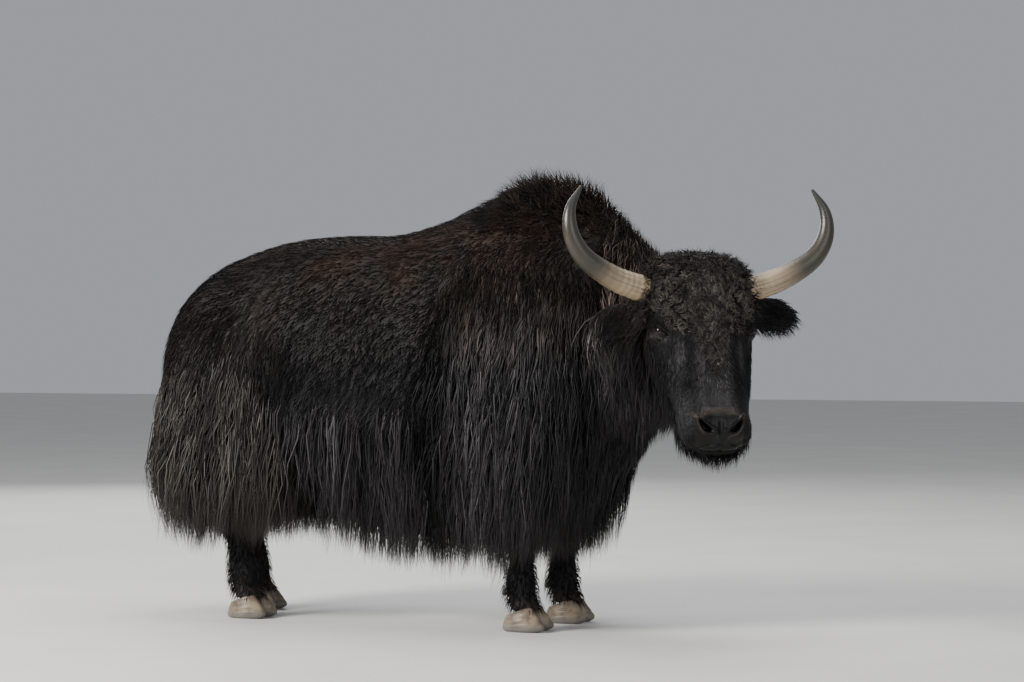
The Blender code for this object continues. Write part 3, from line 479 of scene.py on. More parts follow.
def sculpt_head(mesh):
    """Brow, eye sockets, lids, cheeks, nose, nostrils, mouth and lips, by moving the head's corners."""
    p = corners_of(mesh)
    n = normals_of(mesh)
    u, v, w = p.T
    side_w = np.abs(w)
    front = smooth(-0.10, -0.02, v)
    move = np.zeros(len(p))
    # brow, the rims of the eye sockets and the hollow before the inner corner of each eye
    for side in (1, -1):
        a, b, c = eye_place(p, side)
        away = np.hypot(a, b)
        near = (w * side > 0.03) * smooth(-0.045, -0.010, c)
        rim = np.exp(-((away - 0.040) / 0.015) ** 2)
        inner = 0.8 * smooth(0.0, 0.03, a) * smooth(-0.02, 0.0, b)
        move += near * rim * (0.003 + 0.006 * smooth(-0.02, 0.02, b)) * (1 - inner)
        move -= near * 0.0045 * bump(np.hypot((a - 0.055) * 0.7, b - 0.002), 0.024)
    move += 0.008 * bump(np.hypot((u - 0.150) / 1.3, side_w - 0.112), 0.045) * smooth(-0.05, 0.0, v)
    # hollow below the eye, the ridge of the cheek, the jaw and the hollow before it
    move -= 0.007 * bump(np.hypot((u - 0.275) / 1.6, v + 0.030), 0.038) * smooth(0.055, 0.09, side_w)
    ridge = np.abs(v + 0.066 + 0.06 * (u - 0.30))
    cheek = 0.0070 * bump(ridge, 0.024) * smooth(0.22, 0.27, u)
    move += cheek * (1 - smooth(0.37, 0.43, u)) * smooth(0.05, 0.08, side_w)
    move += 0.010 * bump(np.hypot((u - 0.225) / 1.5, (v + 0.140) / 1.1), 0.085) * smooth(0.05, 0.09, side_w)
    move -= 0.007 * bump(np.hypot((u - 0.365) / 1.5, v + 0.112), 0.042) * smooth(0.03, 0.06, side_w)
    # the flat of the nose and its edges
    nose_edge = 0.0030 * bump(np.abs(side_w - 0.034), 0.016) * front
    move += nose_edge * smooth(0.24, 0.30, u) * (1 - smooth(0.42, 0.46, u))
    move -= 0.0035 * bump(np.hypot((u - 0.438) / 0.5, w * 0.5), 0.030) * front
    # the nose pad's shoulders and the groove between the nostrils
    move += 0.0085 * bump(np.hypot(u - 0.478, side_w - 0.054), 0.036) * front
    move -= 0.0042 * bump(np.abs(w), 0.011) * smooth(-0.085, -0.060, v) * smooth(0.475, 0.500, u)
    move += 0.0035 * bump(np.abs(u - 0.456), 0.016) * front * (1 - smooth(0.040, 0.060, side_w))
    # lips on both sides of the mouth, and the groove between them
    gap = mouth_gap(u, v)
    reach = smooth(0.385, 0.425, u)
    move += 0.0050 * bump(np.abs(gap - 0.0135), 0.014) * reach
    move += 0.0060 * bump(np.abs(gap + 0.0165), 0.019) * reach
    move += 0.0060 * bump(np.hypot(u - 0.475, v + 0.140), 0.045)
    move -= 0.0090 * np.exp(-(gap / 0.0030) ** 2) * reach
    # nostrils, with a soft wing round each
    for side in (1, -1):
        m = nostril_measure(p, side)
        move += 0.0048 * np.exp(-((m - 1.32) / 0.34) ** 2)
        move -= 0.024 * (1 - smooth(0.45, 1.02, m))
    p = p + n * move[:, None]
    # eyes
    for side in (1, -1):
        out = eye_frame(side)[1]
        a, b, c = eye_place(p, side)
        plane = np.hypot(a, b)
        near = (plane < 0.060) & (c > -0.03)
        lid_radius = EYE_RADIUS + 0.0036
        inside = np.sqrt(np.maximum(lid_radius**2 - plane**2, 0.0))
        m = lid_measure(a, b)
        over = np.where(plane < lid_radius, inside, -1.0)
        soft = 0.004
        raised = 0.5 * (c + over + np.sqrt((c - over) ** 2 + soft**2)) - 0.15 * soft
        wanted = np.where(plane < lid_radius + 0.012, np.maximum(raised, c), c)
        wanted = wanted - 0.0022 * np.exp(-((m - 1.62) / 0.16) ** 2) * smooth(-0.004, 0.004, b)
        wanted = wanted - 0.0012 * np.exp(-((m - 1.75) / 0.14) ** 2) * (1 - smooth(-0.004, 0.004, b))
        wanted = wanted + 0.0016 * np.exp(-((m - 1.98) / 0.16) ** 2) * smooth(-0.004, 0.004, b)
        wanted = wanted - 0.0030 * bump(np.hypot((a - 0.034) * 0.45, b + 0.004), 0.0075)
        behind = np.sqrt(np.maximum(EYE_RADIUS**2 - plane**2, 0.0)) - 0.0065
        open_share = 1 - smooth(0.93, 1.03, m)
        wanted = wanted * (1 - open_share) + behind * open_share
        step = np.where(near, wanted - c, 0.0)
        p = p + out * step[:, None]
    set_corners(mesh, p)


def head_object():
    points, faces = loft(head_rings())
    mesh = mesh_of("head_skin", points, faces)
    made = bmesh.new()
    made.from_mesh(mesh)

    def close(places, reach):
        found = []
        for edge in made.edges:
            middle = (edge.verts[0].co + edge.verts[1].co) / 2
            if any((middle - Vector(place)).length < reach for place in places):
                found.append(edge)
        return found

    eyes = [EYE * (1, 1, side) + (0, 0, 0.012 * side) for side in (1, -1)]
    for reach in (0.048, 0.036):
        bmesh.ops.subdivide_edges(made, edges=close(eyes, reach), cuts=1, use_grid_fill=True)
    muzzle = [edge for edge in made.edges if edge.verts[0].co.x > 0.435 and edge.verts[0].co.y > -0.10]
    bmesh.ops.subdivide_edges(made, edges=muzzle, cuts=1, use_grid_fill=True)
    bmesh.ops.triangulate(made, faces=[face for face in made.faces if len(face.verts) > 4])
    made.to_mesh(mesh)
    made.free()
    mesh.update()
    sculpt_head(mesh)
    return link("head_skin", mesh)


EAR_LENGTH = 0.192
# Ears: share, half width, depth of the cup, thickness
EAR_ROWS = [
    (0.00, 0.020, 0.000, 0.034),
    (0.18, 0.033, 0.004, 0.030),
    (0.35, 0.046, 0.020, 0.016),
    (0.60, 0.051, 0.023, 0.010),
    (0.85, 0.038, 0.014, 0.008),
    (1.00, 0.012, 0.002, 0.005),
]


def ear_frame(side):
    rise = 0.12 if side > 0 else -0.06
    back = 0.04 if side > 0 else 0.22
    along = unit(HEAD_AXES[2] * side * 0.95 + UP * rise - FACING * back)
    opening = FACING * 0.80 + UP * 0.25 + HEAD_AXES[2] * side * 0.15
    opening = unit(opening - along * (opening @ along))
    root = head_to_body((0.125, -0.085, side * 0.124))
    return root, along, opening, np.cross(along, opening)


def ear_object(side):
    """A cupped ear: each section is a crescent, thick at the back and hollow in front."""
    root, along, opening, across = ear_frame(side)
    share = np.linspace(0, 1, 30)
    half, cup, thick = rows_at(EAR_ROWS, share).T
    angle = angles(28)
    rings = []
    for k in range(len(share)):
        c, s = np.cos(angle), np.sin(angle)
        x = half[k] * c
        hollow = cup[k] * (1 - c**2)
        y = np.where(s > 0, s * thick[k] * 0.5 - hollow, s * thick[k] * 0.5 - hollow * 1.05)
        bend = -0.030 * share[k] ** 2
        centre = root + along * EAR_LENGTH * share[k] - UP * 0.008 * share[k] ** 2 + opening * bend
        rings.append(centre + across * x[:, None] + opening * y[:, None])
    points, faces = loft(rings)
    return link("ear_skin", mesh_of("ear_skin", points, faces))


def skin_object():
    """One closed skin of the whole animal apart from eyes, horns and hooves."""
    shapes = [trunk_shape(), neck_shape(), dock_shape()]
    shapes += [side_mass_shape(SHOULDER_ROWS, side) for side in (1, -1)]
    shapes += [side_mass_shape(THIGH_ROWS, side) for side in (1, -1)]
    shapes += [limb_shape(foot) for foot in FEET]
    inner = head_rings(24, 28)
    middle = inner.mean(1, keepdims=True)
    inner = middle + (inner - middle) * 0.90
    inner[..., 0] = -0.045 + (inner[..., 0] + 0.055) * 0.80
    points, faces = loft(inner)
    shapes.append((head_to_body(points), faces))
    body = merged("skin", shapes)
    remesh = body.modifiers.new("remesh", "REMESH")
    remesh.mode = "VOXEL"
    remesh.voxel_size = SKIN_GRID
    mesh = baked(body)
    z = corners_of(mesh)[:, 2]
    relax(mesh, smooth(0.30, 0.42, z), 10)
    relax(mesh, 1 - smooth(0.30, 0.42, z), 2)
    head = head_object()
    set_corners(head.data, head_to_body(corners_of(head.data)))
    head.data.flip_normals()
    head.data.update()
    head_tree = tree_of(head.data)
    ears = [ear_object(side) for side in (1, -1)]
    ear_trees = [tree_of(ear.data) for ear in ears]
    united(head, ears)
    united(body, [head])
    mesh = body.data
    points = corners_of(mesh)
    part = np.zeros(len(points))
    for k, point in enumerate(points):
        if point[0] > 0.30 and point[2] > 0.45:
            place = Vector(point)
            if head_tree.find_nearest(place, 0.001)[0] is not None:
                part[k] = 1
            elif any(tree.find_nearest(place, 0.001)[0] is not None for tree in ear_trees):
                part[k] = 2
    put_attribute(mesh, "part", part)
    mark_face(mesh, points, part)
    unwrap(body)
    return body


def tree_of(mesh):
    made = bmesh.new()
    made.from_mesh(mesh)
    tree = BVHTree.FromBMesh(made)
    made.free()
    return tree


def mark_face(mesh, points, part):
    """Where the skin is bare: nose pad, nostril rims, lips and lid edges."""
    p = body_to_head(points)
    u, v, w = p.T
    on_head = part == 1
    front = smooth(-0.075, -0.055, v - 0.16 * np.clip(0.47 - u, 0, 0.2))
    top = 0.446 + 1.6 * np.clip(np.abs(w) - 0.012, 0, 0.06) ** 1.5
    pad_side = 0.062 - 0.25 * np.clip(0.480 - u, 0, 0.1)
    pad = smooth(top, top + 0.018, u) * (1 - smooth(pad_side, pad_side + 0.014, np.abs(w))) * front
    measure = np.minimum(nostril_measure(p, 1), nostril_measure(p, -1))
    wing = (1 - smooth(1.25, 1.9, measure)) * smooth(-0.09, -0.06, v)
    pad = np.maximum(pad, wing)
    wing_edge = np.exp(-((measure - 1.65) / 0.38) ** 2) * smooth(0.044, 0.060, np.abs(w))
    wing_edge = wing_edge * smooth(-0.09, -0.05, v)
    top_edge = np.exp(-((u - top - 0.006) / 0.010) ** 2) * (1 - smooth(0.046, 0.066, np.abs(w))) * front
    rim = np.maximum(0.75 * wing_edge, top_edge)
    gap = mouth_gap(u, v)
    lips = np.exp(-((gap - 0.006) / 0.005) ** 2) * smooth(0.43, 0.47, u)
    lids = np.zeros(len(p))
    for side in (1, -1):
        a, b, c = eye_place(p, side)
        near = (np.hypot(a, b) < 0.05) & (c > -0.03)
        lids = np.where(near, np.maximum(lids, np.exp(-((lid_measure(a, b) - 1.08) / 0.17) ** 2)), lids)
    # Painted shade: the nostrils and the mouth's slit are marked to be near black.
    slit = np.exp(-((gap + 0.001) / 0.003) ** 2) * smooth(0.39, 0.43, u)
    dark = np.maximum(1 - smooth(0.55, 0.95, measure), slit)
    for name, values in (("pad", pad), ("rim", rim), ("lips", lips), ("lids", lids), ("hollow", dark)):
        put_attribute(mesh, name, np.where(on_head, values, 0.0))
    # The head's painted light and shade go on its skin as the tone.
    put_attribute(mesh, "tone", np.where(on_head, 0.9 * head_painted_light(p), 1.0))


def unwrap(obj):
    """Lays the skin out flat, in the map that the coat shares."""
    mesh = obj.data
    mesh.uv_layers.new(name="OFBake")
    bpy.ops.object.select_all(action="DESELECT")
    obj.select_set(True)
    bpy.context.view_layer.objects.active = obj
    bpy.ops.object.mode_set(mode="EDIT")
    bpy.ops.mesh.select_all(action="SELECT")
    bpy.ops.uv.smart_project(angle_limit=math.radians(66), island_margin=0.002, area_weight=0.3)
    bpy.ops.object.mode_set(mode="OBJECT")


# The coat

class Ground:
    """The skin as the coat sees it: its triangles, their normals, parts and places on the flat layout."""

    def __init__(self, obj):
        mesh = obj.data
        mesh.calc_loop_triangles()
        self.corners = read(mesh.loop_triangles, "vertices", 3, np.int64)
        loops = read(mesh.loop_triangles, "loops", 3, np.int64)
        points = corners_of(mesh) - FORE_FEET
        self.points = points
        self.normals = normals_of(mesh)
        self.flat = read(mesh.uv_layers["OFBake"].data, "uv", 2)[loops]
        part, *skins = (read(mesh.attributes[name].data, "value", 1, np.float32)[:, 0]
                        for name in ("part", "pad", "lids", "lips", "hollow"))
        bare = np.max(skins, axis=0)
        self.part = part[self.corners].max(1)
        self.bare = bare[self.corners].mean(1)
        a, b, c = points[self.corners[:, 0]], points[self.corners[:, 1]], points[self.corners[:, 2]]
        self.middle = (a + b + c) / 3
        self.area = np.linalg.norm(np.cross(b - a, c - a), axis=1) / 2
        self.tree = BVHTree.FromPolygons(points.tolist(), self.corners.tolist())

    def border(self):
        """Makes the borders between kinds of coat wander, with the tufts of both mixed along them."""
        scatter = np.random.default_rng(7).normal(0, 1, len(self.middle))
        return 0.050 * wander(self.middle, 9.0, 5.0) + 0.028 * scatter

    def roots(self, mask, cell, seed):
        """Evenly loose places on the chosen triangles, one to a cell."""
        rng = np.random.default_rng(seed)
        chosen = np.flatnonzero(mask)
        area = self.area[chosen]
        count = int(2.6 * area.sum() / cell**2) + 1
        triangle = chosen[rng.choice(len(chosen), count, p=area / area.sum())]
        r1, r2 = np.sqrt(rng.random(count)), rng.random(count)
        share = np.stack([1 - r1, r1 * (1 - r2), r1 * r2], 1)[..., None]
        corners = self.corners[triangle]
        place = (self.points[corners] * share).sum(1)
        normal = unit((self.normals[corners] * share).sum(1))
        flat = (self.flat[triangle] * share).sum(1)
        first, _ = cells_of(place, cell)
        return place[first], normal[first], flat[first]


def grow(ground, place, normal, lie, length, stand, droop, lift, steps, rng,
         wave=0.0, clump=0.0, clump_cell=0.03, curl=0.0, fall=(0.0, 0.0, -1.0), hem=False):
    """Paths from root to tip: along the lie, then down, clear of the skin, drawn together in locks."""
    count = len(place)
    flat_lie = unit(lie - normal * (lie * normal).sum(1, keepdims=True))
    start = unit(flat_lie + normal * np.asarray(stand).reshape(-1, 1))
    sway = unit(np.cross(normal, start))
    phase = rng.uniform(0, 2 * math.pi, count)
    turns = rng.uniform(0.8, 1.6, count)
    curl = np.broadcast_to(np.asarray(curl, float), (count,))[:, None] * 2 * math.pi
    droop = np.broadcast_to(np.asarray(droop, float), (count,))
    lift = np.broadcast_to(np.asarray(lift, float), (count,))
    path = np.empty((count, steps + 1, 3))
    out = np.empty_like(path)
    path[:, 0] = place - normal * 0.004
    out[:, 0] = normal
    now, facing = place.copy(), normal.copy()
    find = ground.tree.find_nearest
    fall = unit(np.broadcast_to(fall, (count, 3)))
    for k in range(1, steps + 1):
        share = k / steps
        pull = np.clip(droop * share, 0, 1)[:, None]
        wound = start * np.cos(curl * share) + sway * np.sin(curl * share)
        heading = unit(wound * (1 - pull) + fall * pull)
        now = now + heading * (length / steps)[:, None]
        if wave:
            swing = np.sin(phase + share * turns * 6.28) - np.sin(phase + (share - 1 / steps) * turns * 6.28)
            now = now + sway * (swing * wave)[:, None] * length[:, None]
        wanted = lift * min(1.0, share * 2.5)
        for i in range(count):
            spot, way, _, _ = find(Vector(now[i]), 0.09)
            if spot is None:
                continue
            away = (now[i] - np.array(spot)) @ np.array(way)
            if away < wanted[i]:
                now[i] += np.array(way) * (wanted[i] - away)
            facing[i] = 0.6 * facing[i] + 0.4 * np.array(way)
        path[:, k] = now
        out[:, k] = unit(facing)
    if clump:
        first, member = cells_of(place, clump_cell)
        guide = first[member]
        share = (np.arange(steps + 1) / steps) ** 1.3
        draw = (clump * rng.uniform(0.5, 1.0, count))[:, None, None] * share[None, :, None]
        path = path + (path[guide] - path) * draw
    if hem:
        path = gathered(path, out)
        path, out = trimmed(path, out, place, rng)
    return path, out


# The coat's lower outline: x, height
HEM_LINE = np.array((
    (-1.430, 0.620), (-1.410, 0.513), (-1.335, 0.320), (-1.270, 0.250), (-1.200, 0.215), (-1.100, 0.212),
    (-0.950, 0.218), (-0.820, 0.232), (-0.740, 0.240), (-0.670, 0.182), (-0.600, 0.156), (-0.400, 0.145),
    (-0.250, 0.150), (-0.150, 0.166), (0.000, 0.160), (0.100, 0.172), (0.170, 0.210), (0.210, 0.310),
    (0.235, 0.420), (0.270, 0.540), (0.405, 0.585), (0.500, 0.620), (0.600, 0.660),
))


def hem_height(x):
    return np.interp(x, HEM_LINE[:, 0], HEM_LINE[:, 1])


LOCK_WIDTH = 0.034
RAG_CELL = 0.048
CURL_CELL = 0.017


def lock_of(points):
    """The lock that each place belongs to, and where it lies in it, from -0.5 to 0.5."""
    q = (points[..., 0] + points[..., 1]) / LOCK_WIDTH
    q = q + 0.28 * np.sin(1.9 * q) + 0.22 * np.sin(0.83 * q + 1.0) + 0.5 * np.sin(9.0 * points[..., 2])
    number = np.floor(q)
    return number, q - number - 0.5


def gathered(path, out):
    """Draws the lower ends of the tufts together, so that the coat falls in pointed locks."""
    steps = path.shape[1] - 1
    _, across = lock_of(path)
    tangent = np.cross(UP, out)
    tangent = unit(tangent + 1e-6)
    rate = tangent[..., 0] + tangent[..., 1]
    rate = np.copysign(np.maximum(np.abs(rate), 0.6), rate)
    share = smooth(0.15, 1.0, np.arange(steps + 1) / steps)[None, :]
    return path - tangent * (across * LOCK_WIDTH / rate * 0.72 * share)[..., None]


def trimmed(path, out, place, rng):
    """Ends each tuft near the coat's lower outline, ragged from lock to lock and from hair to hair."""
    count, stations = path.shape[:2]
    steps = stations - 1
    _, member = cells_of(place, RAG_CELL)
    rag = rng.normal(0.0, 0.010, member.max() + 1)[member] + np.abs(rng.normal(0, 0.014, count))
    number, across = lock_of(path[:, -1])
    own = np.sin(number * 12.9898 + 4.1) * 43758.5453
    own = own - np.floor(own)
    rag = rag + 0.060 * (own - 0.5) - 0.035 * (own < 0.15) + 0.055 * np.abs(across)
    ahead = 0.3 * np.clip(np.abs(path[..., 1]) - 0.12, 0, 0.2) * smooth(-0.05, 0.10, path[..., 0])
    gap = path[..., 2] - hem_height(path[..., 0] + ahead) - rag[:, None]
    under = gap < 0
    under[:, 0] = False
    reached = under.any(1)
    first = np.where(reached, under.argmax(1), steps)
    before = np.maximum(first - 1, 0)
    every = np.arange(count)
    over, beyond = gap[every, before], gap[every, first]
    cut = np.where(reached, before + np.clip(over / np.maximum(over - beyond, 1e-6), 0, 1), steps)
    cut = np.maximum(cut, 0.3 * steps)
    at = np.arange(stations)[None, :] / steps * cut[:, None]
    low = np.minimum(at.astype(int), steps - 1)
    part = (at - low)[..., None]
    every = every[:, None]
    path = path[every, low] * (1 - part) + path[every, low + 1] * part
    out = unit(out[every, low] * (1 - part) + out[every, low + 1] * part)
    return path, out


LOCK_PROFILE = np.array((0.55, 0.95, 1.0, 0.86, 0.64, 0.36, 0.2))


def tuft_arrays(path, out, width, flat, shade, rng, thick=0.5):
    """Closed three-sided tufts along the paths, wide at first and ending in a point."""
    count, stations = path.shape[:2]
    rings = stations - 1
    ahead = path[:, 1:]
    behind = np.concatenate([path[:, :1], path[:, :-2]], 1) if stations > 2 else path[:, :1]
    along = unit(ahead - behind)
    across = unit(np.cross(along, out[:, :rings]))
    lean = rng.uniform(-0.5, 0.5, (count, 1, 1))
    rise = unit(np.cross(across, along))
    across, rise = unit(across + rise * lean), unit(rise - across * lean)
    profile = np.interp(np.linspace(0, 1, rings), np.linspace(0, 1, len(LOCK_PROFILE)), LOCK_PROFILE)
    half = (0.5 * width)[:, None, None] * profile[None, :, None]
    base = path[:, :rings]
    points = np.empty((count, rings * 3 + 1, 3))
    points[:, 0:rings * 3:3] = base - across * half
    points[:, 1:rings * 3:3] = base + across * half
    points[:, 2:rings * 3:3] = base + rise * half * 2 * thick
    points[:, -1] = path[:, -1]
    quads, u, v = [], [], []
    for k in range(rings - 1):
        for j in range(3):
            a, b = 3 * k + j, 3 * k + (j + 1) % 3
            quads.append((a, b, b + 3, a + 3))
            u.append((j / 3, (j + 1) / 3, (j + 1) / 3, j / 3))
            v.append((k / rings, k / rings, (k + 1) / rings, (k + 1) / rings))
    last, tip = 3 * (rings - 1), 3 * rings
    tris, tu, tv = [], [], []
    for j in range(3):
        tris.append((last + j, last + (j + 1) % 3, tip))
        tu.append((j / 3, (j + 1) / 3, (j + 0.5) / 3))
        tv.append(((rings - 1) / rings, (rings - 1) / rings, 1.0))
    tris.append((2, 1, 0))
    tu.append((0.66, 0.33, 0.0))
    tv.append((0.0, 0.0, 0.0))
    corner = np.concatenate([np.array(quads).ravel(), np.array(tris).ravel()])
    cu = np.concatenate([np.array(u).ravel(), np.array(tu).ravel()])
    cv = np.concatenate([np.array(v).ravel(), np.array(tv).ravel()])
    sizes = np.array([4] * len(quads) + [3] * len(tris))
    per = points.shape[1]
    corners = (corner[None, :] + (np.arange(count) * per)[:, None]).ravel()
    patch = np.clip(flat, 0.002, 0.998)[:, None, :] + (np.stack([cu, cv], 1)[None] - 0.5) * 0.003
    shift = rng.uniform(0, 40, (count, 1, 2))
    strand = np.stack([cu, cv], 1)[None] + shift
    along_share = np.concatenate([np.repeat(np.arange(rings) / rings, 3), [1.0]])
    return {
        "points": points.reshape(-1, 3),
        "corners": corners,
        "sizes": np.tile(sizes, count),
        "OFBake": patch.reshape(-1, 2),
        "strand": strand.reshape(-1, 2),
        "along": np.tile(along_share, count),
        "shade": np.repeat(shade, per),
    }


def tuft_mesh(name, arrays):
    """One mesh of many tufts."""
    points, corners, base = [], [], 0
    for part in arrays:
        corners.append(part["corners"] + base)
        points.append(part["points"])
        base += len(part["points"])
    points, corners = np.vstack(points), np.concatenate(corners)
    sizes = np.concatenate([part["sizes"] for part in arrays])
    mesh = bpy.data.meshes.new(name)
    mesh.vertices.add(len(points))
    mesh.vertices.foreach_set("co", points.ravel())
    mesh.loops.add(len(corners))
    mesh.loops.foreach_set("vertex_index", corners.astype(np.int32))
    mesh.polygons.add(len(sizes))
    starts = np.concatenate([[0], np.cumsum(sizes)[:-1]]).astype(np.int32)
    mesh.polygons.foreach_set("loop_start", starts)
    mesh.update(calc_edges=True)
    for layer in ("OFBake", "strand"):
        uv = mesh.uv_layers.new(name=layer)
        uv.data.foreach_set("uv", np.vstack([part[layer] for part in arrays]).astype(np.float32).ravel())
    for attribute in ("along", "shade"):
        put_attribute(mesh, attribute, np.concatenate([part[attribute] for part in arrays]))
    return mesh


MOST_TUFT_FACES = 190000
# Spacing of the tufts of the small areas
CREST_CELL = 0.0082
TAIL_CELL = 0.0085
LASH_CELL = 0.0026
BEARD_CELL = 0.0064
POLL_CELL = 0.0075
EAR_CELL = 0.0057


def coat_pieces(name, slot, finish, arrays, nodes=()):
    """Links the tufts as pieces that each stay under the limit."""
    groups, group, faces = [], [], 0
    for part in arrays:
        these = int((part["sizes"] - 2).sum())
        if group and faces + these > MOST_TUFT_FACES:
            groups.append(group)
            group, faces = [], 0
        group.append(part)
        faces += these
    groups.append(group)
    total = 0
    for k, group in enumerate(groups):
        label = name if len(groups) == 1 else f"{name}_{k + 1}"
        obj = link(label, tuft_mesh(label, group))
        finished(obj, finish, slot, *nodes)
        total += sum(int((part["sizes"] - 2).sum()) for part in group)
    print(name, len(groups), "pieces", total, "triangles")


def tufts(ground, mask, cell, seed, settings, batch=4000):
    """Scatters, grows and shapes the tufts of one area. settings(place, normal, rng) gives their sizes."""
    rng = np.random.default_rng(seed + 1)
    place, normal, flat = ground.roots(mask, cell, seed)
    s = settings(place, normal, rng)
    keep = s.pop("keep", None)
    if keep is not None:
        place, normal, flat = place[keep], normal[keep], flat[keep]
        s = {key: value[keep] if isinstance(value, np.ndarray) and len(value) == len(keep) else value
             for key, value in s.items()}
    width, steps = s.pop("width"), s.pop("steps", 4)
    thick, tone = s.pop("thick", 0.35), s.pop("tone", 1.0)
    _, member = cells_of(place, s.get("clump_cell", 0.02), 10.3)
    shade = 0.5 * rng.uniform(0, 1, member.max() + 1)[member] + 0.5 * rng.uniform(0, 1, len(place))
    # The settings' tone holds painted light and shade as well as the hair's own lightness.
    shade = (0.15 + 2.3 * shade**1.5) * tone * (1 + 0.18 * wander(place, 24.0, 9.0))
    # Hair that ends at the hem: painted shade in the gaps between its locks and painted light along their
    # middles.
    if s.get("hem"):
        shade = shade * (1.30 - 1.2 * np.abs(lock_of(place)[1]))
    path, out = grow(ground, place, normal, s.pop("lie"), s.pop("length"), s.pop("stand", 0.2),
                     s.pop("droop", 0.0), s.pop("lift", 0.003), steps, rng, **s)
    width = np.broadcast_to(width, (len(place),))
    order = np.argsort(place[:, 0], kind="stable")
    return [
        tuft_arrays(path[some], out[some], width[some], flat[some], shade[some], rng, thick)
        for some in np.array_split(order, max(1, len(order) // batch))
    ]


THIGH_EDGE = -0.69


def thigh_edge(z):
    """Where the flank's coat ends and the thigh's begins, at each height."""
    return THIGH_EDGE - 0.45 * (z - 0.43)


def flank_ridge(x):
    """Height of the ridge where the flank's short hair ends and the skirt begins."""
    return 0.575 + 0.065 * smooth(-0.15, -0.72, x)


def wander(place, scale, seed):
    """A slow, smooth turn over the body, between -1 and 1."""
    x, y, z = (place * scale).T
    return (np.sin(1.7 * x + 2.3 * z + seed) + np.sin(2.9 * x - 1.9 * y + 1.3 * seed)
            + np.sin(3.7 * z + 2.1 * y - 0.7 * seed)) / 3


def body_lie(place, normal):
    """Which way the hair lies on trunk, neck and upper limbs."""
    x, y, z = place.T
    side = np.sign(y)
    lie = np.stack([-0.62 + 0 * x, 0 * x, -0.78 + 0 * x], 1)
    top = smooth(0.25, 0.75, normal[:, 2])
    ridge = np.stack([-0.9 + 0 * x, 0.45 * side, -0.15 + 0 * x], 1)
    lie = lie * (1 - top[:, None]) + ridge * top[:, None]
    ahead = smooth(-0.30, -0.16, x) * (1 - smooth(1.05, 1.20, z))
    apron = np.stack([-0.02 + 0.6 * np.minimum(x, 0.05), 0 * x, -1 + 0 * x], 1)
    lie = lie * (1 - ahead[:, None]) + apron * ahead[:, None]
    behind = 1 - smooth(-0.80, -0.66, x)
    low = behind * (1 - smooth(0.78, 0.98, z))
    fanned = np.stack([-0.35 + 1.1 * (x + 0.98), 0 * x, -1 + 0 * x], 1)
    lie = lie * (1 - low[:, None]) + fanned * low[:, None]
    neck = smooth(0.22, 0.34, x)
    lie = lie * (1 - neck[:, None]) + np.array((-0.10, -0.02, -1.0)) * neck[:, None]
    turn = 0.20 * wander(place, 6.0, 1.0) + 0.10 * wander(place, 17.0, 4.0)
    return unit(lie + np.cross(normal, unit(lie)) * turn[:, None])


def upper_coat(place, normal, rng):
    """Short woolly hair over the back, the hump and the upper flanks, longer towards the long coat."""
    x, z = place[:, 0], place[:, 2]
    n = len(place)
    hump = smooth(-0.30, -0.10, x) * smooth(1.02, 1.20, z)
    behind = 1 - smooth(-0.80, -0.66, x)
    ahead = smooth(-0.34, -0.20, x)
    border = flank_ridge(x) + 0.02 + 0.19 * behind + 0.40 * ahead
    near = 1 - smooth(border, border + 0.20, z)
    length = 0.046 + 0.012 * hump + 0.050 * near + 0.010 * wander(place, 9.0, 2.0)
    # A painted sheen down the thigh's front edge.
    ridge = np.exp(-((x + 0.86 + 0.20 * (0.9 - z)) / 0.045) ** 2)
    ridge = ridge * smooth(0.62, 0.72, z) * (1 - smooth(1.02, 1.12, z))
    # Painted shade in the cleft behind the shoulder.
    cleft = np.exp(-((x + 0.235) / 0.045) ** 2) * (1 - smooth(0.84, 1.04, z))
    rump = (1 - smooth(-0.98, -0.84, x)) * smooth(0.85, 1.0, z)
    # A painted sheen along the flank's ridge, where the skirt begins.
    band = np.exp(-((z - flank_ridge(x) - 0.050) / 0.040) ** 2)
    band = band * smooth(-0.82, -0.70, x) * (1 - smooth(-0.36, -0.27, x))
    return {
        "lie": unit(body_lie(place, normal) + rng.normal(0, 0.15, (n, 3))),
        "length": length * rng.uniform(0.75, 1.25, n),
        "width": rng.uniform(0.0022, 0.0046, n),
        "stand": 0.16 + 0.28 * hump + rng.uniform(-0.1, 0.2, n),
        "droop": 0.15 + 0.5 * near, "lift": rng.uniform(0.002, 0.010, n), "steps": 3,
        "wave": 0.06, "clump": 0.55, "clump_cell": 0.019, "curl": rng.normal(0, 0.05, n),
        # Tone: painted sheen on the thigh's edge and the flank's ridge, painted shade in the cleft, darker
        # on the rump, lighter near the long coat.
        "tone": (1 + 1.10 * ridge) * (1 - 0.88 * cleft) * (1 - 0.60 * rump)
        * (1 + 2.60 * band + 0.35 * near * (1 - ahead)),
    }


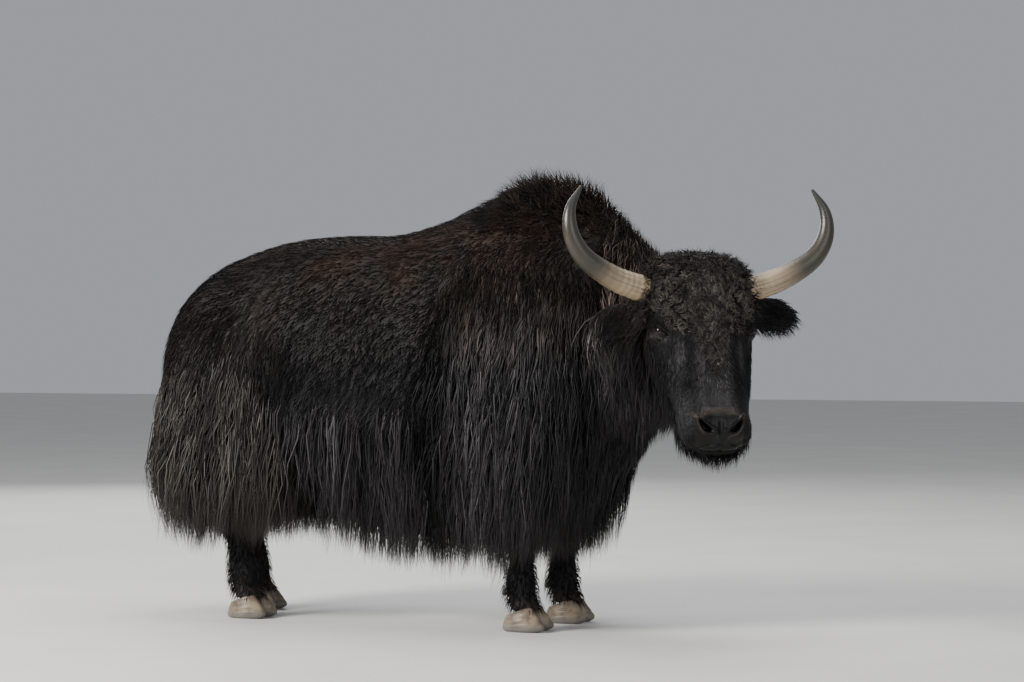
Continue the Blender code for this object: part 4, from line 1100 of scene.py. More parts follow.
def crest_coat(place, normal, rng):
    """Fluffy hair that stands up along the hump and the top of the neck."""
    n = len(place)
    x, z = place[:, 0], place[:, 2]
    hump = smooth(-0.16, -0.02, x) * (1 - smooth(0.16, 0.26, x))
    full = 0.25 + 0.75 * smooth(-0.19, -0.06, x) * np.maximum(smooth(1.19, 1.29, z), smooth(0.20, 0.26, x))
    lie = np.array((-0.45, 0.0, 0.0)) + np.outer(1.6 * full - 1.2, UP) + rng.normal(0, 0.30, (n, 3))
    return {
        "lie": unit(lie), "length": (rng.uniform(0.046, 0.072, n) + 0.026 * hump) * (0.6 + 0.4 * full),
        "width": rng.uniform(0.0026, 0.0056, n), "stand": (rng.uniform(0.4, 1.1, n) + 0.5 * hump) * full,
        "droop": 0.10, "lift": (rng.uniform(0.006, 0.02, n) + 0.012 * hump) * full,
        "steps": 3, "wave": 0.08, "clump": 0.45, "clump_cell": 0.020,
        "curl": rng.normal(0, 0.08, n), "tone": 1.45,
    }


def hem_length(place, most, rng, least=0.10):
    """Long enough to reach the coat's lower outline where the root is near enough to it."""
    reach = place[:, 2] - hem_height(place[:, 0])
    return np.clip(reach, least, most) * rng.uniform(0.95, 1.12, len(place))


def shoulder_coat(place, normal, rng):
    """The long apron of the shoulder and the upper foreleg."""
    x, z = place[:, 0], place[:, 2]
    n = len(place)
    high = smooth(0.72, 1.08, z)
    length = hem_length(place, 0.44, rng) * (1 - high) + (0.230 - 0.140 * high) * high
    fringe = smooth(0.62, 0.74, z)
    short = np.minimum(length, 0.230 - 0.12 * high)
    length = length * (1 - fringe) + short * fringe * rng.uniform(0.75, 1.15, n)
    deep = 1 - smooth(0.66, 1.02, z)
    # Painted shade along the apron's rear edge, in the cleft against the flank.
    behind = smooth(-0.195, -0.160, x)
    dome = np.sqrt(np.clip(1 - ((x + 0.005) / 0.215) ** 2, 0, 1))
    return {
        "lie": unit(body_lie(place, normal) + rng.normal(0, 0.09, (n, 3))),
        "length": length, "width": rng.uniform(0.0034, 0.0076, n) * (1 - 0.25 * high),
        "stand": 0.12 + 0.22 * deep + rng.uniform(-0.05, 0.15, n), "droop": 1.0,
        "lift": rng.uniform(0.35, 1.0, n) * (0.006 + (0.004 + 0.064 * dome) * deep),
        "wave": 0.035, "clump": 0.80, "clump_cell": 0.040, "curl": rng.normal(0, 0.02, n),
        "fall": (-0.03, 0.0, -1.0), "hem": True,
        # Tone: lighter low down as a painted sheen, darker up towards the short coat, painted shade along
        # the rear edge and on the front towards the brisket.
        "tone": (0.55 + 1.45 * (1 - smooth(0.60, 1.08, z))) * (0.15 + 0.85 * behind)
        * (1 - 0.62 * smooth(0.04, 0.18, x)),
    }


def flank_coat(place, normal, rng):
    """The skirt that hangs from the flank and the belly."""
    x, z = place[:, 0], place[:, 2]
    n = len(place)
    deep = 1 - smooth(0.48, 0.61, z)
    front = thigh_edge(z)
    thigh = (1 - smooth(front + 0.03, front + 0.12, x)) * (1 - smooth(0.60, 0.72, z))
    # The clefts against the apron and the thigh: the hair there lies close and carries painted shade.
    cleft = np.maximum(smooth(-0.33, -0.27, x), thigh)
    return {
        "lie": unit(np.array((-0.16, 0.0, -1.0)) + rng.normal(0, 0.09, (n, 3))),
        "length": hem_length(place, 0.43, rng) * (1 - 0.80 * (1 - deep) * rng.uniform(0, 1, n) ** 0.6),
        "width": rng.uniform(0.0034, 0.0076, n), "stand": 0.12 + 0.20 * deep + rng.uniform(-0.05, 0.15, n),
        "droop": 1.3, "lift": rng.uniform(0.1, 1.0, n) * (0.004 + 0.018 * deep * (1 - cleft)),
        "wave": 0.035, "clump": 0.84, "clump_cell": 0.042, "curl": rng.normal(0, 0.02, n), "hem": True,
        # Tone: lighter low down, with painted shade in the clefts.
        "tone": (1.90 + 0.80 * (1 - smooth(0.46, 0.58, z))) * (1 - 0.95 * cleft),
    }


def breech_coat(place, normal, rng):
    """Long hair of the thigh and the rear, which fans out and sweeps forward at its lower end."""
    x, y, z = place.T
    n = len(place)
    high = smooth(0.66, 0.90, z)
    rear = 1 - smooth(-1.25, -1.05, x)
    length = hem_length(place, 0.44, rng) * (1 - high) + 0.085 * high
    fringe = smooth(0.60, 0.72, z)
    short = np.minimum(length, 0.21 - 0.11 * high)
    length = length * (1 - fringe) + short * fringe * rng.uniform(0.75, 1.15, n)
    deep = 1 - smooth(0.58, 0.84, z)
    fall = np.stack([0.42 * rear, -0.10 * np.sign(y) * rear, -1 + 0 * x], 1)
    dome = np.clip(1 - ((x + 0.98) / 0.31) ** 2, 0, 1)
    return {
        "lie": unit(body_lie(place, normal) + rng.normal(0, 0.10, (n, 3)) + np.outer(rear, (-0.40, 0, 0))),
        "length": length, "width": rng.uniform(0.0034, 0.0076, n) * (1 - 0.25 * high),
        "stand": 0.14 + 0.32 * deep + 0.25 * rear * deep + rng.uniform(-0.05, 0.2, n), "droop": 1.0,
        "lift": rng.uniform(0.25, 1.0, n) * (0.006 + (0.008 + 0.045 * dome + 0.055 * rear) * deep),
        "wave": 0.045, "clump": 0.80, "clump_cell": 0.038, "curl": rng.normal(0, 0.03, n),
        "fall": fall, "hem": True,
        "tone": (0.62 + 1.00 * (1 - smooth(0.55, 0.92, z))) * (1.0 - 0.25 * rear),
    }


def neck_coat(place, normal, rng):
    """Long hair of the neck's sides, the throat and the brisket."""
    x, z = place[:, 0], place[:, 2]
    n = len(place)
    ahead = smooth(0.24, 0.36, x)
    high = smooth(0.92, 1.12, z)
    length = 0.200 - 0.050 * ahead - 0.070 * high + 0.02 * wander(place, 8.0, 3.0)
    return {
        "lie": unit(body_lie(place, normal) + rng.normal(0, 0.09, (n, 3))),
        "length": length * rng.uniform(0.75, 1.15, n), "width": rng.uniform(0.0030, 0.0068, n),
        "stand": 0.20 + rng.uniform(-0.05, 0.2, n), "droop": 0.9,
        "lift": rng.uniform(0.004, 0.026, n),
        "wave": 0.040, "clump": 0.70, "clump_cell": 0.036, "curl": rng.normal(0, 0.03, n), "hem": True,
        "tone": 1.70 - 0.95 * (1 - smooth(0.55, 0.75, z)) - 0.55 * high,
    }


def tail_coat(place, normal, rng):
    """The tail's brush, close over the rear."""
    z = place[:, 2]
    n = len(place)
    return {
        "lie": unit(np.array((0.0, 0.0, -1.0)) + rng.normal(0, 0.10, (n, 3))),
        "length": np.clip(z - 0.42, 0.10, 0.36) * rng.uniform(0.7, 1.08, n),
        "width": rng.uniform(0.004, 0.009, n), "stand": 0.06 + rng.uniform(-0.05, 0.12, n),
        "droop": 1.2, "lift": rng.uniform(0.002, 0.014, n), "steps": 5,
        "wave": 0.035, "clump": 0.6, "clump_cell": 0.045, "fall": (0.45, 0.0, -1.0), "hem": True,
    }


def leg_coat(place, normal, rng):
    """Short hair of the lower legs, fluffy round the fetlocks."""
    z = place[:, 2]
    n = len(place)
    fetlock = bump(np.abs(z - 0.125), 0.060) * smooth(-0.3, 0.5, -normal[:, 0])
    upper = smooth(0.26, 0.40, z)
    return {
        "lie": unit(np.array((-0.12, 0.0, -1.0)) + rng.normal(0, 0.15, (n, 3))),
        "length": (0.032 + 0.024 * fetlock + 0.050 * upper) * rng.uniform(0.75, 1.25, n),
        "width": rng.uniform(0.0024, 0.0044, n) + 0.002 * upper, "stand": 0.50 + 0.40 * fetlock,
        "droop": 0.5, "lift": rng.uniform(0.003, 0.013, n), "steps": 3,
        "wave": 0.05, "clump": 0.45, "clump_cell": 0.014, "thick": 0.4,
    }


def from_eyes(p):
    """The distance to the nearer eye."""
    return np.minimum(*[np.linalg.norm(p - EYE * (1, 1, side), axis=1) for side in (1, -1)])


def head_painted_light(p):
    """How light the hair of the head is, with painted light and shade: the flat of the nose lit, the sides
    of the face in shade.
    """
    u, v, w = p.T
    side_w = np.abs(w)
    ahead = smooth(-0.055, -0.015, v)
    # Painted highlight on the flat of the nose; the sides of the face keep the low base as painted shade.
    tone = 0.50 + 3.00 * (1 - smooth(0.034, 0.072, side_w)) * ahead
    # Painted sheen on the plane below each inner eye corner.
    tone += 2.80 * np.exp(-((u - 0.275) / 0.045) ** 2 - ((side_w - 0.088) / 0.014) ** 2) * ahead
    # Painted sheen on the sides of the muzzle.
    tone += 1.10 * np.exp(-((u - 0.435) / 0.050) ** 2 - ((v + 0.055) / 0.040) ** 2)
    away = from_eyes(p)
    tone = tone * (1 - 0.45 * bump(away, 0.055))
    for side in (1, -1):
        a, b, c = eye_place(p, side)
        near = (np.hypot(a, b) < 0.075) & (c > -0.05)
        # Painted shade in the crease above each eye and a painted highlight on the fold below it.
        crease = np.exp(-((b - 0.021 + 0.10 * a) / 0.0060) ** 2) * bump(a - 0.012, 0.045)
        fold = np.exp(-((b + 0.018 - 0.12 * a) / 0.0045) ** 2) * bump(a - 0.018, 0.042)
        tone = np.where(near, tone * (1 - 0.85 * crease) + 3.2 * fold, tone)
    return tone


def face_coat(place, normal, rng):
    """Short sleek hair that lies down the face."""
    p = body_to_head(place)
    u, v, w = p.T
    n = len(place)
    lie = HEAD_AXES[0] + HEAD_AXES[2] * (np.sign(w) * 0.45)[:, None]
    cheek = smooth(-0.03, -0.10, v) * (1 - smooth(0.33, 0.42, u))
    muzzle = smooth(0.36, 0.43, u)
    eye = from_eyes(p)
    small = 1 - smooth(0.026, 0.050, eye)
    rough = smooth(0.20, 0.25, u) * (1 - smooth(0.36, 0.41, u))
    rough = rough * bump(np.abs(w) - 0.064, 0.034) * smooth(-0.06, -0.03, v)
    length = 0.0160 + 0.018 * cheek - 0.007 * muzzle - 0.009 * small + 0.006 * rough
    return {
        "lie": unit(lie + rng.normal(0, 1.0, (n, 3)) * (0.12 + 0.18 * rough)[:, None]),
        "length": length * rng.uniform(0.8, 1.2, n),
        "width": rng.uniform(0.0016, 0.0030, n) * (1 - 0.35 * np.maximum(muzzle, small)),
        "stand": 0.14 + 0.15 * cheek + 0.25 * rough, "droop": 0.0,
        "lift": rng.uniform(0.0004, 0.0016, n), "steps": 3,
        # The face's tone is the head's painted light and shade.
        "wave": 0.03, "clump": 0.60, "clump_cell": 0.014, "tone": head_painted_light(p),
    }


def lash_coat(place, normal, rng):
    """Lashes along the upper lids."""
    p = body_to_head(place)
    n = len(place)
    side = np.where(p[:, 2] > 0, 1, -1)
    ab = np.array([eye_place(q[None], s) for q, s in zip(p, side)])[:, :, 0]
    measure = lid_measure(ab[:, 0], ab[:, 1])
    out = np.array([eye_frame(s)[1] for s in side])
    high = np.array([eye_frame(s)[3] for s in side])
    lie = (out * 0.6 - high * 0.5) @ HEAD_AXES
    return {
        "lie": unit(lie + rng.normal(0, 0.12, (n, 3))), "length": rng.uniform(0.008, 0.013, n),
        "width": rng.uniform(0.0008, 0.0013, n), "stand": 1.4, "droop": 0.1, "lift": 0.0005, "steps": 3,
        "thick": 0.5, "tone": 0.4, "keep": (ab[:, 1] > 0.001) & (measure < 1.35),
    }


def chin_coat(place, normal, rng):
    """The beard under the chin and along the jaw."""
    p = body_to_head(place)
    u = p[:, 0]
    n = len(place)
    chin = smooth(0.36, 0.46, u)
    return {
        "lie": unit(np.array((0, 0, -1.0)) + HEAD_AXES[0] * 0.35 + rng.normal(0, 0.12, (n, 3))),
        "length": (0.060 + 0.004 * chin) * rng.uniform(0.7, 1.15, n),
        "width": rng.uniform(0.0018, 0.0034, n), "stand": 0.35, "droop": 0.8, "tone": 0.6,
        "lift": rng.uniform(0.002, 0.010, n), "wave": 0.05, "clump": 0.40, "clump_cell": 0.016,
    }


def poll_coat(place, normal, rng):
    """Tousled hair on the poll, round the horns and behind the forehead's curls."""
    n = len(place)
    p = body_to_head(place)
    lie = HEAD_AXES[0] * 0.4 + HEAD_AXES[2] * np.sign(p[:, 2])[:, None] * 0.4
    lie = lie + rng.normal(0, 0.6, (n, 3))
    wide = smooth(0.10, 0.14, np.abs(p[:, 2])) * smooth(-0.02, 0.02, p[:, 0])
    return {
        "lie": unit(lie), "length": rng.uniform(0.024, 0.046, n) + 0.012 * wide,
        "width": rng.uniform(0.0030, 0.0052, n), "stand": rng.uniform(0.4, 1.2, n),
        "droop": 0.15, "lift": rng.uniform(0.003, 0.012, n) + 0.010 * wide, "thick": 0.4,
        "wave": 0.14, "clump": 0.55, "clump_cell": 0.015, "tone": 0.9,
    }


def ear_coat(place, normal, rng):
    """Hair over the ears, longest along their lower edge and in the cup."""
    n = len(place)
    p = body_to_head(place)
    side = np.where(p[:, 2] > 0, 1, -1)
    along = np.array([ear_frame(s)[1] for s in (1, -1)])[np.where(side > 0, 0, 1)]
    opening = np.array([ear_frame(s)[2] for s in (1, -1)])[np.where(side > 0, 0, 1)]
    inside = smooth(0.2, 0.7, (normal * opening).sum(1))
    low = smooth(0.1, 0.8, -normal[:, 2])
    length = 0.022 + 0.014 * inside + np.where(side > 0, 0.026, 0.062) * low
    sag = np.where(side > 0, 0.10, 0.35) + 0.5 * low
    lie = along * (0.8 - 0.3 * low)[:, None] + np.array((0, 0, -1.0)) * sag[:, None]
    return {
        "lie": unit(lie + rng.normal(0, 0.15, (n, 3))), "length": length * rng.uniform(0.75, 1.2, n),
        "width": rng.uniform(0.0019, 0.0035, n), "stand": 0.26 + 0.25 * inside + rng.uniform(-0.1, 0.2, n),
        "droop": 0.5, "lift": rng.uniform(0.001, 0.006, n),
        "wave": 0.05, "clump": 0.6, "clump_cell": 0.015, "tone": 0.62,
    }


def curl_coat(place, normal, rng):
    """Matted curls of the forehead: small tufts wound in the same way within each clump."""
    n = len(place)
    u = body_to_head(place)[:, 0]
    _, member = cells_of(place, CURL_CELL)
    swirl = rng.normal(0, 1, (member.max() + 1, 3))[member]
    hand = np.sign(rng.normal(0, 1, member.max() + 1))[member]
    low = smooth(0.16, 0.34, u)
    lie = HEAD_AXES[0] * (0.45 + 0.8 * low)[:, None] + swirl * (0.75 - 0.35 * low)[:, None]
    return {
        "lie": unit(lie + rng.normal(0, 0.25, (n, 3))),
        "length": rng.uniform(0.018, 0.033, n) * (1 - 0.35 * low),
        "width": rng.uniform(0.0017, 0.0030, n), "stand": rng.uniform(0.35, 1.1, n) * (1 - 0.65 * low),
        "droop": 0.0, "lift": rng.uniform(0.002, 0.010, n), "thick": 0.45,
        "wave": 0.10, "clump": 0.45, "clump_cell": CURL_CELL, "curl": hand * rng.uniform(0.15, 0.50, n),
    }


# Materials

class Bench:
    """Short ways to place and wire nodes in one tree."""

    def __init__(self, tree):
        self.tree = tree

    def node(self, kind, **settings):
        made = self.tree.nodes.new(kind)
        for key, value in settings.items():
            setattr(made, key, value)
        return made

    def link(self, source, target):
        self.tree.links.new(source, target)

    def place(self):
        return self.node("ShaderNodeTexCoord").outputs["Object"]

    def map(self, name, scale):
        uv = self.node("ShaderNodeUVMap", uv_map=name).outputs["UV"]
        return self.scaled(uv, scale)

    def scaled(self, vector, scale):
        mapping = self.node("ShaderNodeMapping")
        mapping.inputs["Scale"].default_value = scale
        self.link(vector, mapping.inputs["Vector"])
        return mapping.outputs["Vector"]

    def value(self, name):
        return self.node("ShaderNodeAttribute", attribute_name=name).outputs["Fac"]

    def noise(self, vector, scale, detail=4.0, rough=0.6):
        made = self.node("ShaderNodeTexNoise")
        made.inputs["Scale"].default_value = scale
        made.inputs["Detail"].default_value = detail
        made.inputs["Roughness"].default_value = rough
        self.link(vector, made.inputs["Vector"])
        return made.outputs["Fac"]

    def cells(self, vector, scale, feature="F1"):
        made = self.node("ShaderNodeTexVoronoi", feature=feature)
        made.inputs["Scale"].default_value = scale
        self.link(vector, made.inputs["Vector"])
        return made.outputs["Distance"]

    def span(self, value, low, high, to_low=0.0, to_high=1.0):
        made = self.node("ShaderNodeMapRange", interpolation_type="SMOOTHSTEP")
        for socket, number in zip(made.inputs[1:5], (low, high, to_low, to_high)):
            socket.default_value = number
        self.link(value, made.inputs["Value"])
        return made.outputs["Result"]

    def math(self, operation, a, b=None):
        made = self.node("ShaderNodeMath", operation=operation)
        for socket, source in zip(made.inputs, (a, b)):
            if source is None:
                continue
            if isinstance(source, (int, float)):
                socket.default_value = source
            else:
                self.link(source, socket)
        return made.outputs[0]

    def times(self, a, b):
        return self.math("MULTIPLY", a, b)

    def axis(self, vector, name):
        made = self.node("ShaderNodeSeparateXYZ")
        self.link(vector, made.inputs[0])
        return made.outputs[name]

    def mix(self, share, a, b, blend="MIX"):
        made = self.node("ShaderNodeMix", data_type="RGBA", blend_type=blend)
        sources = ((made.inputs[0], share), (made.inputs[6], a), (made.inputs[7], b))
        for socket, source in sources:
            if isinstance(source, (int, float)):
                socket.default_value = source
            elif not isinstance(source, bpy.types.NodeSocket):
                socket.default_value = (*source, 1.0)
            else:
                self.link(source, socket)
        return made.outputs[2]

    def brightened(self, colour, tone):
        made = self.node("ShaderNodeVectorMath", operation="SCALE")
        self.link(colour, made.inputs[0])
        self.link(tone, made.inputs["Scale"])
        return made.outputs[0]

    def raised(self, height, strength, distance, shader, under=None):
        made = self.node("ShaderNodeBump")
        made.inputs["Strength"].default_value = strength
        made.inputs["Distance"].default_value = distance
        self.link(height, made.inputs["Height"])
        if under is not None:
            self.link(under, made.inputs["Normal"])
        if shader is not None:
            self.link(made.outputs["Normal"], shader.inputs["Normal"])
        return made.outputs["Normal"]


def shader_of(name, colour, roughness):
    made = bpy.data.materials.new(name)
    made.use_nodes = True
    tree = made.node_tree
    shader = tree.nodes["Principled BSDF"]
    shader.inputs["Base Color"].default_value = (*colour, 1.0)
    shader.inputs["Roughness"].default_value = roughness
    made.diffuse_color = (*colour, 1.0)
    return made, Bench(tree), shader


def markings(bench, place, looks):
    """The coat's own colours by their place on the animal: black below, a reddish brown cast above."""
    z = bench.axis(place, "Z")
    x = bench.axis(place, "X")
    patches = bench.noise(place, 5.0, 3.0)
    above = bench.span(z, 0.72, 1.12)
    brown = bench.times(above, bench.span(patches, 0.36, 0.66, 0.25, 1.0))
    head = bench.times(bench.span(x, 0.62, 0.78), 0.85)
    brown = bench.times(brown, bench.math("SUBTRACT", 1.0, head))
    colour = bench.mix(brown, looks.coat_black, looks.coat_brown)
    behind = bench.math("SUBTRACT", 1.0, bench.span(x, -0.75, -0.45))
    rear = bench.times(behind, bench.span(patches, 0.45, 0.62, 0.0, 0.55))
    return bench.mix(rear, colour, looks.coat_rear)


def coat_material(name, looks, light, tips, roughness, gloss, cast=None, share=0.0, roots=1.0):
    """Hair: light and dark strands, a paler end, and a cast of its own over the coat's markings; its tone
    holds the painted light and shade of each area, and roots below 1 give painted shade towards each tuft's
    root.
    """
    made, bench, shader = shader_of(name, looks.coat_black, roughness)
    place = bench.place()
    colour = markings(bench, place, looks)
    if cast is not None:
        colour = bench.mix(share, colour, cast)
    shade = bench.times(bench.value("shade"), light)
    strand = bench.noise(bench.map("strand", (14.0, 1.2, 1.0)), 1.0, 3.0)
    streak = bench.span(strand, 0.32, 0.68, 0.25, 1.85)
    tone = bench.times(shade, streak)
    # Painted shade towards each tuft's root.
    tone = bench.times(tone, bench.span(bench.value("along"), 0.0, 0.30, roots, 1.0))
    bright = bench.brightened(colour, tone)
    # The pale ends fade on dark tufts, so that painted shade stays dark.
    tip = bench.times(bench.span(bench.value("along"), 0.45, 1.0), bench.span(shade, 0.10, 1.20, 0.0, tips))
    colour = bench.mix(tip, bright, looks.coat_tips)
    bench.link(colour, shader.inputs["Base Color"])
    shader.inputs["Specular IOR Level"].default_value = gloss
    bench.raised(strand, 0.70, 0.0015, shader)
    return made


def skin_material(name, looks):
    """Short black hair as fine ridges, a moist nose pad, rosy rims, lips and lids, the head's painted light
    and shade, and painted shade in the nostrils and the mouth's slit.
    """
    made, bench, shader = shader_of(name, looks.coat_black, 0.55)
    place = bench.place()
    colour = markings(bench, place, looks)
    hair = bench.noise(bench.scaled(place, (1.0, 1.0, 0.22)), 420.0, 3.0)
    blotch = bench.noise(place, 30.0, 4.0)
    tone = bench.times(bench.span(hair, 0.3, 0.7, 0.7, 1.4), bench.span(blotch, 0.3, 0.7, 0.75, 1.25))
    # On the head this tone holds its painted light and shade.
    tone = bench.times(tone, bench.value("tone"))
    colour = bench.brightened(colour, tone)
    foot = bench.span(bench.axis(place, "Z"), 0.075, 0.115, 0.8, 0.0)
    colour = bench.mix(foot, colour, looks.pastern)
    pad, rim, lips = bench.value("pad"), bench.value("rim"), bench.value("lips")
    lids, hollow = bench.value("lids"), bench.value("hollow")
    mottled = bench.noise(place, 95.0, 5.0)
    pad_colour = bench.mix(bench.span(mottled, 0.35, 0.7), looks.nose, (0.0065, 0.0055, 0.0052))
    colour = bench.mix(pad, colour, pad_colour)
    rosy = bench.times(rim, bench.span(mottled, 0.30, 0.60, 0.35, 0.95))
    colour = bench.mix(rosy, colour, looks.nose_rim)
    colour = bench.mix(bench.times(lips, 0.75), colour, (0.045, 0.030, 0.024))
    colour = bench.mix(bench.times(lids, 0.8), colour, looks.lids)
    # Painted shade: near black in the nostrils and the mouth's slit.
    colour = bench.mix(hollow, colour, (0.004, 0.003, 0.003))
    bench.link(colour, shader.inputs["Base Color"])
    wet = bench.math("MAXIMUM", pad, bench.times(lids, 0.6))
    shader.inputs["Specular IOR Level"].default_value = 0.20
    rough = bench.span(wet, 0.0, 1.0, 0.62, 0.13)
    rough = bench.math("ADD", rough, bench.times(bench.span(mottled, 0.3, 0.7), 0.10))
    bench.link(rough, shader.inputs["Roughness"])
    pebbles = bench.cells(place, 420.0)
    grain = bench.mix(pad, hair, pebbles)
    height = bench.node("ShaderNodeRGBToBW")
    bench.link(grain, height.inputs[0])
    bench.raised(height.outputs[0], 0.5, 0.0010, shader)
    return made


# Horns, eyes and hooves

# Share along, out from the middle of the head, rise above the root, forward of the root, radius
HORN_ROWS = [
    (0.00, 0.125, -0.004, -0.030, 0.0415),
    (0.16, 0.185, 0.008, -0.026, 0.0400),
    (0.34, 0.270, 0.040, -0.010, 0.0350),
    (0.52, 0.350, 0.095, 0.005, 0.0290),
    (0.70, 0.387, 0.165, 0.008, 0.0228),
    (0.86, 0.384, 0.234, 0.000, 0.0150),
    (1.00, 0.350, 0.294, -0.012, 0.0042),
]
HORN_ALONG = 0.062


def horn_object(side, name):
    """A horn with growth rings at its base, fine cracks along it and a smooth tip."""
    share = np.linspace(0, 1, 190)
    out, rise, forward, radius = rows_at(HORN_ROWS, share).T
    root = head_to_body((HORN_ALONG, -0.03, 0))
    centres = root + HEAD_AXES[2] * side * out[:, None] + UP * rise[:, None] + FACING * forward[:, None]
    inner = centres[0] - unit(centres[1] - centres[0]) * 0.035
    centres = np.vstack([inner, centres])
    radius = np.concatenate([[radius[0] * 0.96], radius])
    share = np.concatenate([[0.0], share])
    along = unit(np.gradient(centres, axis=0))
    across = unit(np.cross(along, FACING))
    up = unit(np.cross(across, along))
    count = 44
    rings = ovals(centres, across, up, 1.0, 1.0, 1.0, count=count) - centres[:, None, :]
    angle = angles(count)
    low = (1 - smooth(0.22, 0.55, share))[:, None]
    wavy = np.sin(share * 150 + 1.2 * np.sin(share * 31 + side))[:, None]
    growth = 0.0005 * low * wavy + 0.0004 * low * np.sin(share * 67 + 2 * side)[:, None]
    ribs = 0.0005 * low * np.sin(angle * 9 + 3 * np.sin(share * 9)[:, None])
    flat = 1 - 0.05 * np.cos(2 * angle)[None, :] * low
    rings = centres[:, None, :] + rings * ((radius[:, None] * flat + growth + ribs)[..., None])
    points, faces = loft(rings)
    obj = link(name, mesh_of(name, points, faces))
    put_attribute(obj.data, "share", np.concatenate([np.repeat(share, count), [0.0, 1.0]]))
    for key, values in (("turn", np.cos(angle)), ("wrap", np.sin(angle))):
        put_attribute(obj.data, key, np.concatenate([np.tile(values, len(share)), [0.0, 0.0]]))
    return obj


def around_and_along(bench, share_scale, around_scale):
    """A place on a horn or hoof, by how far round it is and how far along."""
    joined = bench.node("ShaderNodeCombineXYZ")
    bench.link(bench.times(bench.value("turn"), around_scale), joined.inputs[0])
    bench.link(bench.times(bench.value("wrap"), around_scale), joined.inputs[1])
    bench.link(bench.times(bench.value("share"), share_scale), joined.inputs[2])
    return joined.outputs[0]


def horn_material(name, looks):
    """Tan at the base, olive brown half way, grey and smooth at the tip, with fibres and worn streaks."""
    made, bench, shader = shader_of(name, looks.horn, 0.45)
    share = bench.value("share")
    fibres = bench.noise(around_and_along(bench, 2.2, 7.0), 1.0, 6.0)
    bands = bench.noise(around_and_along(bench, 30.0, 0.8), 1.0, 3.0)
    fine = bench.noise(around_and_along(bench, 16.0, 26.0), 1.0, 6.0, 0.7)
    grey = bench.span(share, 0.22, 0.46)
    colour = bench.mix(grey, looks.horn, looks.horn_grey)
    colour = bench.mix(bench.span(share, 0.72, 0.92, 0.0, 0.9), colour, looks.horn_tip)
    colour = bench.mix(bench.span(fibres, 0.44, 0.70, 0.0, 0.60), colour, (0.050, 0.040, 0.026))
    ringed = bench.times(bench.span(bands, 0.50, 0.66), bench.span(share, 0.45, 0.10))
    colour = bench.mix(bench.times(ringed, 0.40), colour, (0.130, 0.092, 0.054))
    pale = bench.times(bench.span(fine, 0.52, 0.72), bench.span(share, 0.2, 0.6, 0.35, 0.12))
    colour = bench.mix(pale, colour, (0.34, 0.28, 0.20))
    bench.link(colour, shader.inputs["Base Color"])
    bench.link(bench.span(share, 0.15, 0.85, 0.52, 0.30), shader.inputs["Roughness"])
    under = bench.raised(bands, 0.20, 0.0012, None)
    bench.raised(fine, 0.25, 0.0008, shader, under)
    return made


def eye_object(side, name):
    """An eyeball with its cornea, turned to look out between the lids."""
    centre, out, long_way, high_way = eye_frame(side)
    rings, count = 40, 56
    tilt = np.linspace(0.0, math.pi, rings + 2)[1:-1]
    angle = angles(count)
    radius = EYE_RADIUS + 0.0016 * bump(tilt, 0.75)
    flat = np.sin(tilt) * radius
    deep = np.cos(tilt) * radius
    a = flat[:, None] * np.cos(angle)
    b = flat[:, None] * np.sin(angle)
    shape = centre + long_way * a[..., None] + high_way * b[..., None] + out * deep[:, None, None]
    points, faces = loft(shape)
    points[-2] = centre + out * radius[0]
    points[-1] = centre - out * EYE_RADIUS
    obj = link(name, mesh_of(name, head_to_body(points), faces))
    rel = points - centre
    la, lb, lc = rel @ long_way, rel @ high_way, rel @ out
    pupil = np.sqrt((la / 0.0090) ** 2 + (lb / 0.0050) ** 2)
    iris = np.hypot(la, lb) / 0.0160
    back = lc < 0
    put_attribute(obj.data, "pupil", np.where(back, 9.0, pupil))
    put_attribute(obj.data, "iris", np.where(back, 9.0, iris))
    for key, values in (("turn", la), ("wrap", lb)):
        put_attribute(obj.data, key, np.where(iris > 1e-6, values / np.maximum(np.hypot(la, lb), 1e-6), 0))
    put_attribute(obj.data, "share", iris)
    return obj


def eye_material(name, looks):
    made, bench, shader = shader_of(name, looks.iris, 0.12)
    rays = bench.noise(around_and_along(bench, 1.2, 9.0), 1.0, 4.0)
    iris = bench.mix(bench.span(rays, 0.35, 0.68), looks.iris, (0.019, 0.0105, 0.0060))
    edge = bench.span(bench.value("iris"), 0.82, 1.0)
    colour = bench.mix(edge, iris, (0.006, 0.005, 0.005))
    veins = bench.noise(bench.place(), 260.0, 4.0)
    white = bench.mix(bench.span(veins, 0.5, 0.7), (0.016, 0.012, 0.010), (0.014, 0.007, 0.006))
    colour = bench.mix(bench.span(bench.value("iris"), 1.02, 1.22), colour, white)
    colour = bench.mix(bench.span(bench.value("pupil"), 0.85, 1.05, 1.0, 0.0), colour, (0.002, 0.002, 0.003))
    bench.link(colour, shader.inputs["Base Color"])
    shader.inputs["Specular IOR Level"].default_value = 0.15
    shader.inputs["Coat Weight"].default_value = 0.25
    shader.inputs["Coat Roughness"].default_value = 0.04
    return made


# Claws: share of the height, how far the toe and the heel reach, half width
CLAW_ROWS = [
    (0.00, 0.072, -0.056, 0.0270),
    (0.12, 0.077, -0.060, 0.0300),
    (0.45, 0.067, -0.059, 0.0295),
    (1.00, 0.038, -0.048, 0.0235),
]
CLAW_SPLAY = math.radians(7.0)


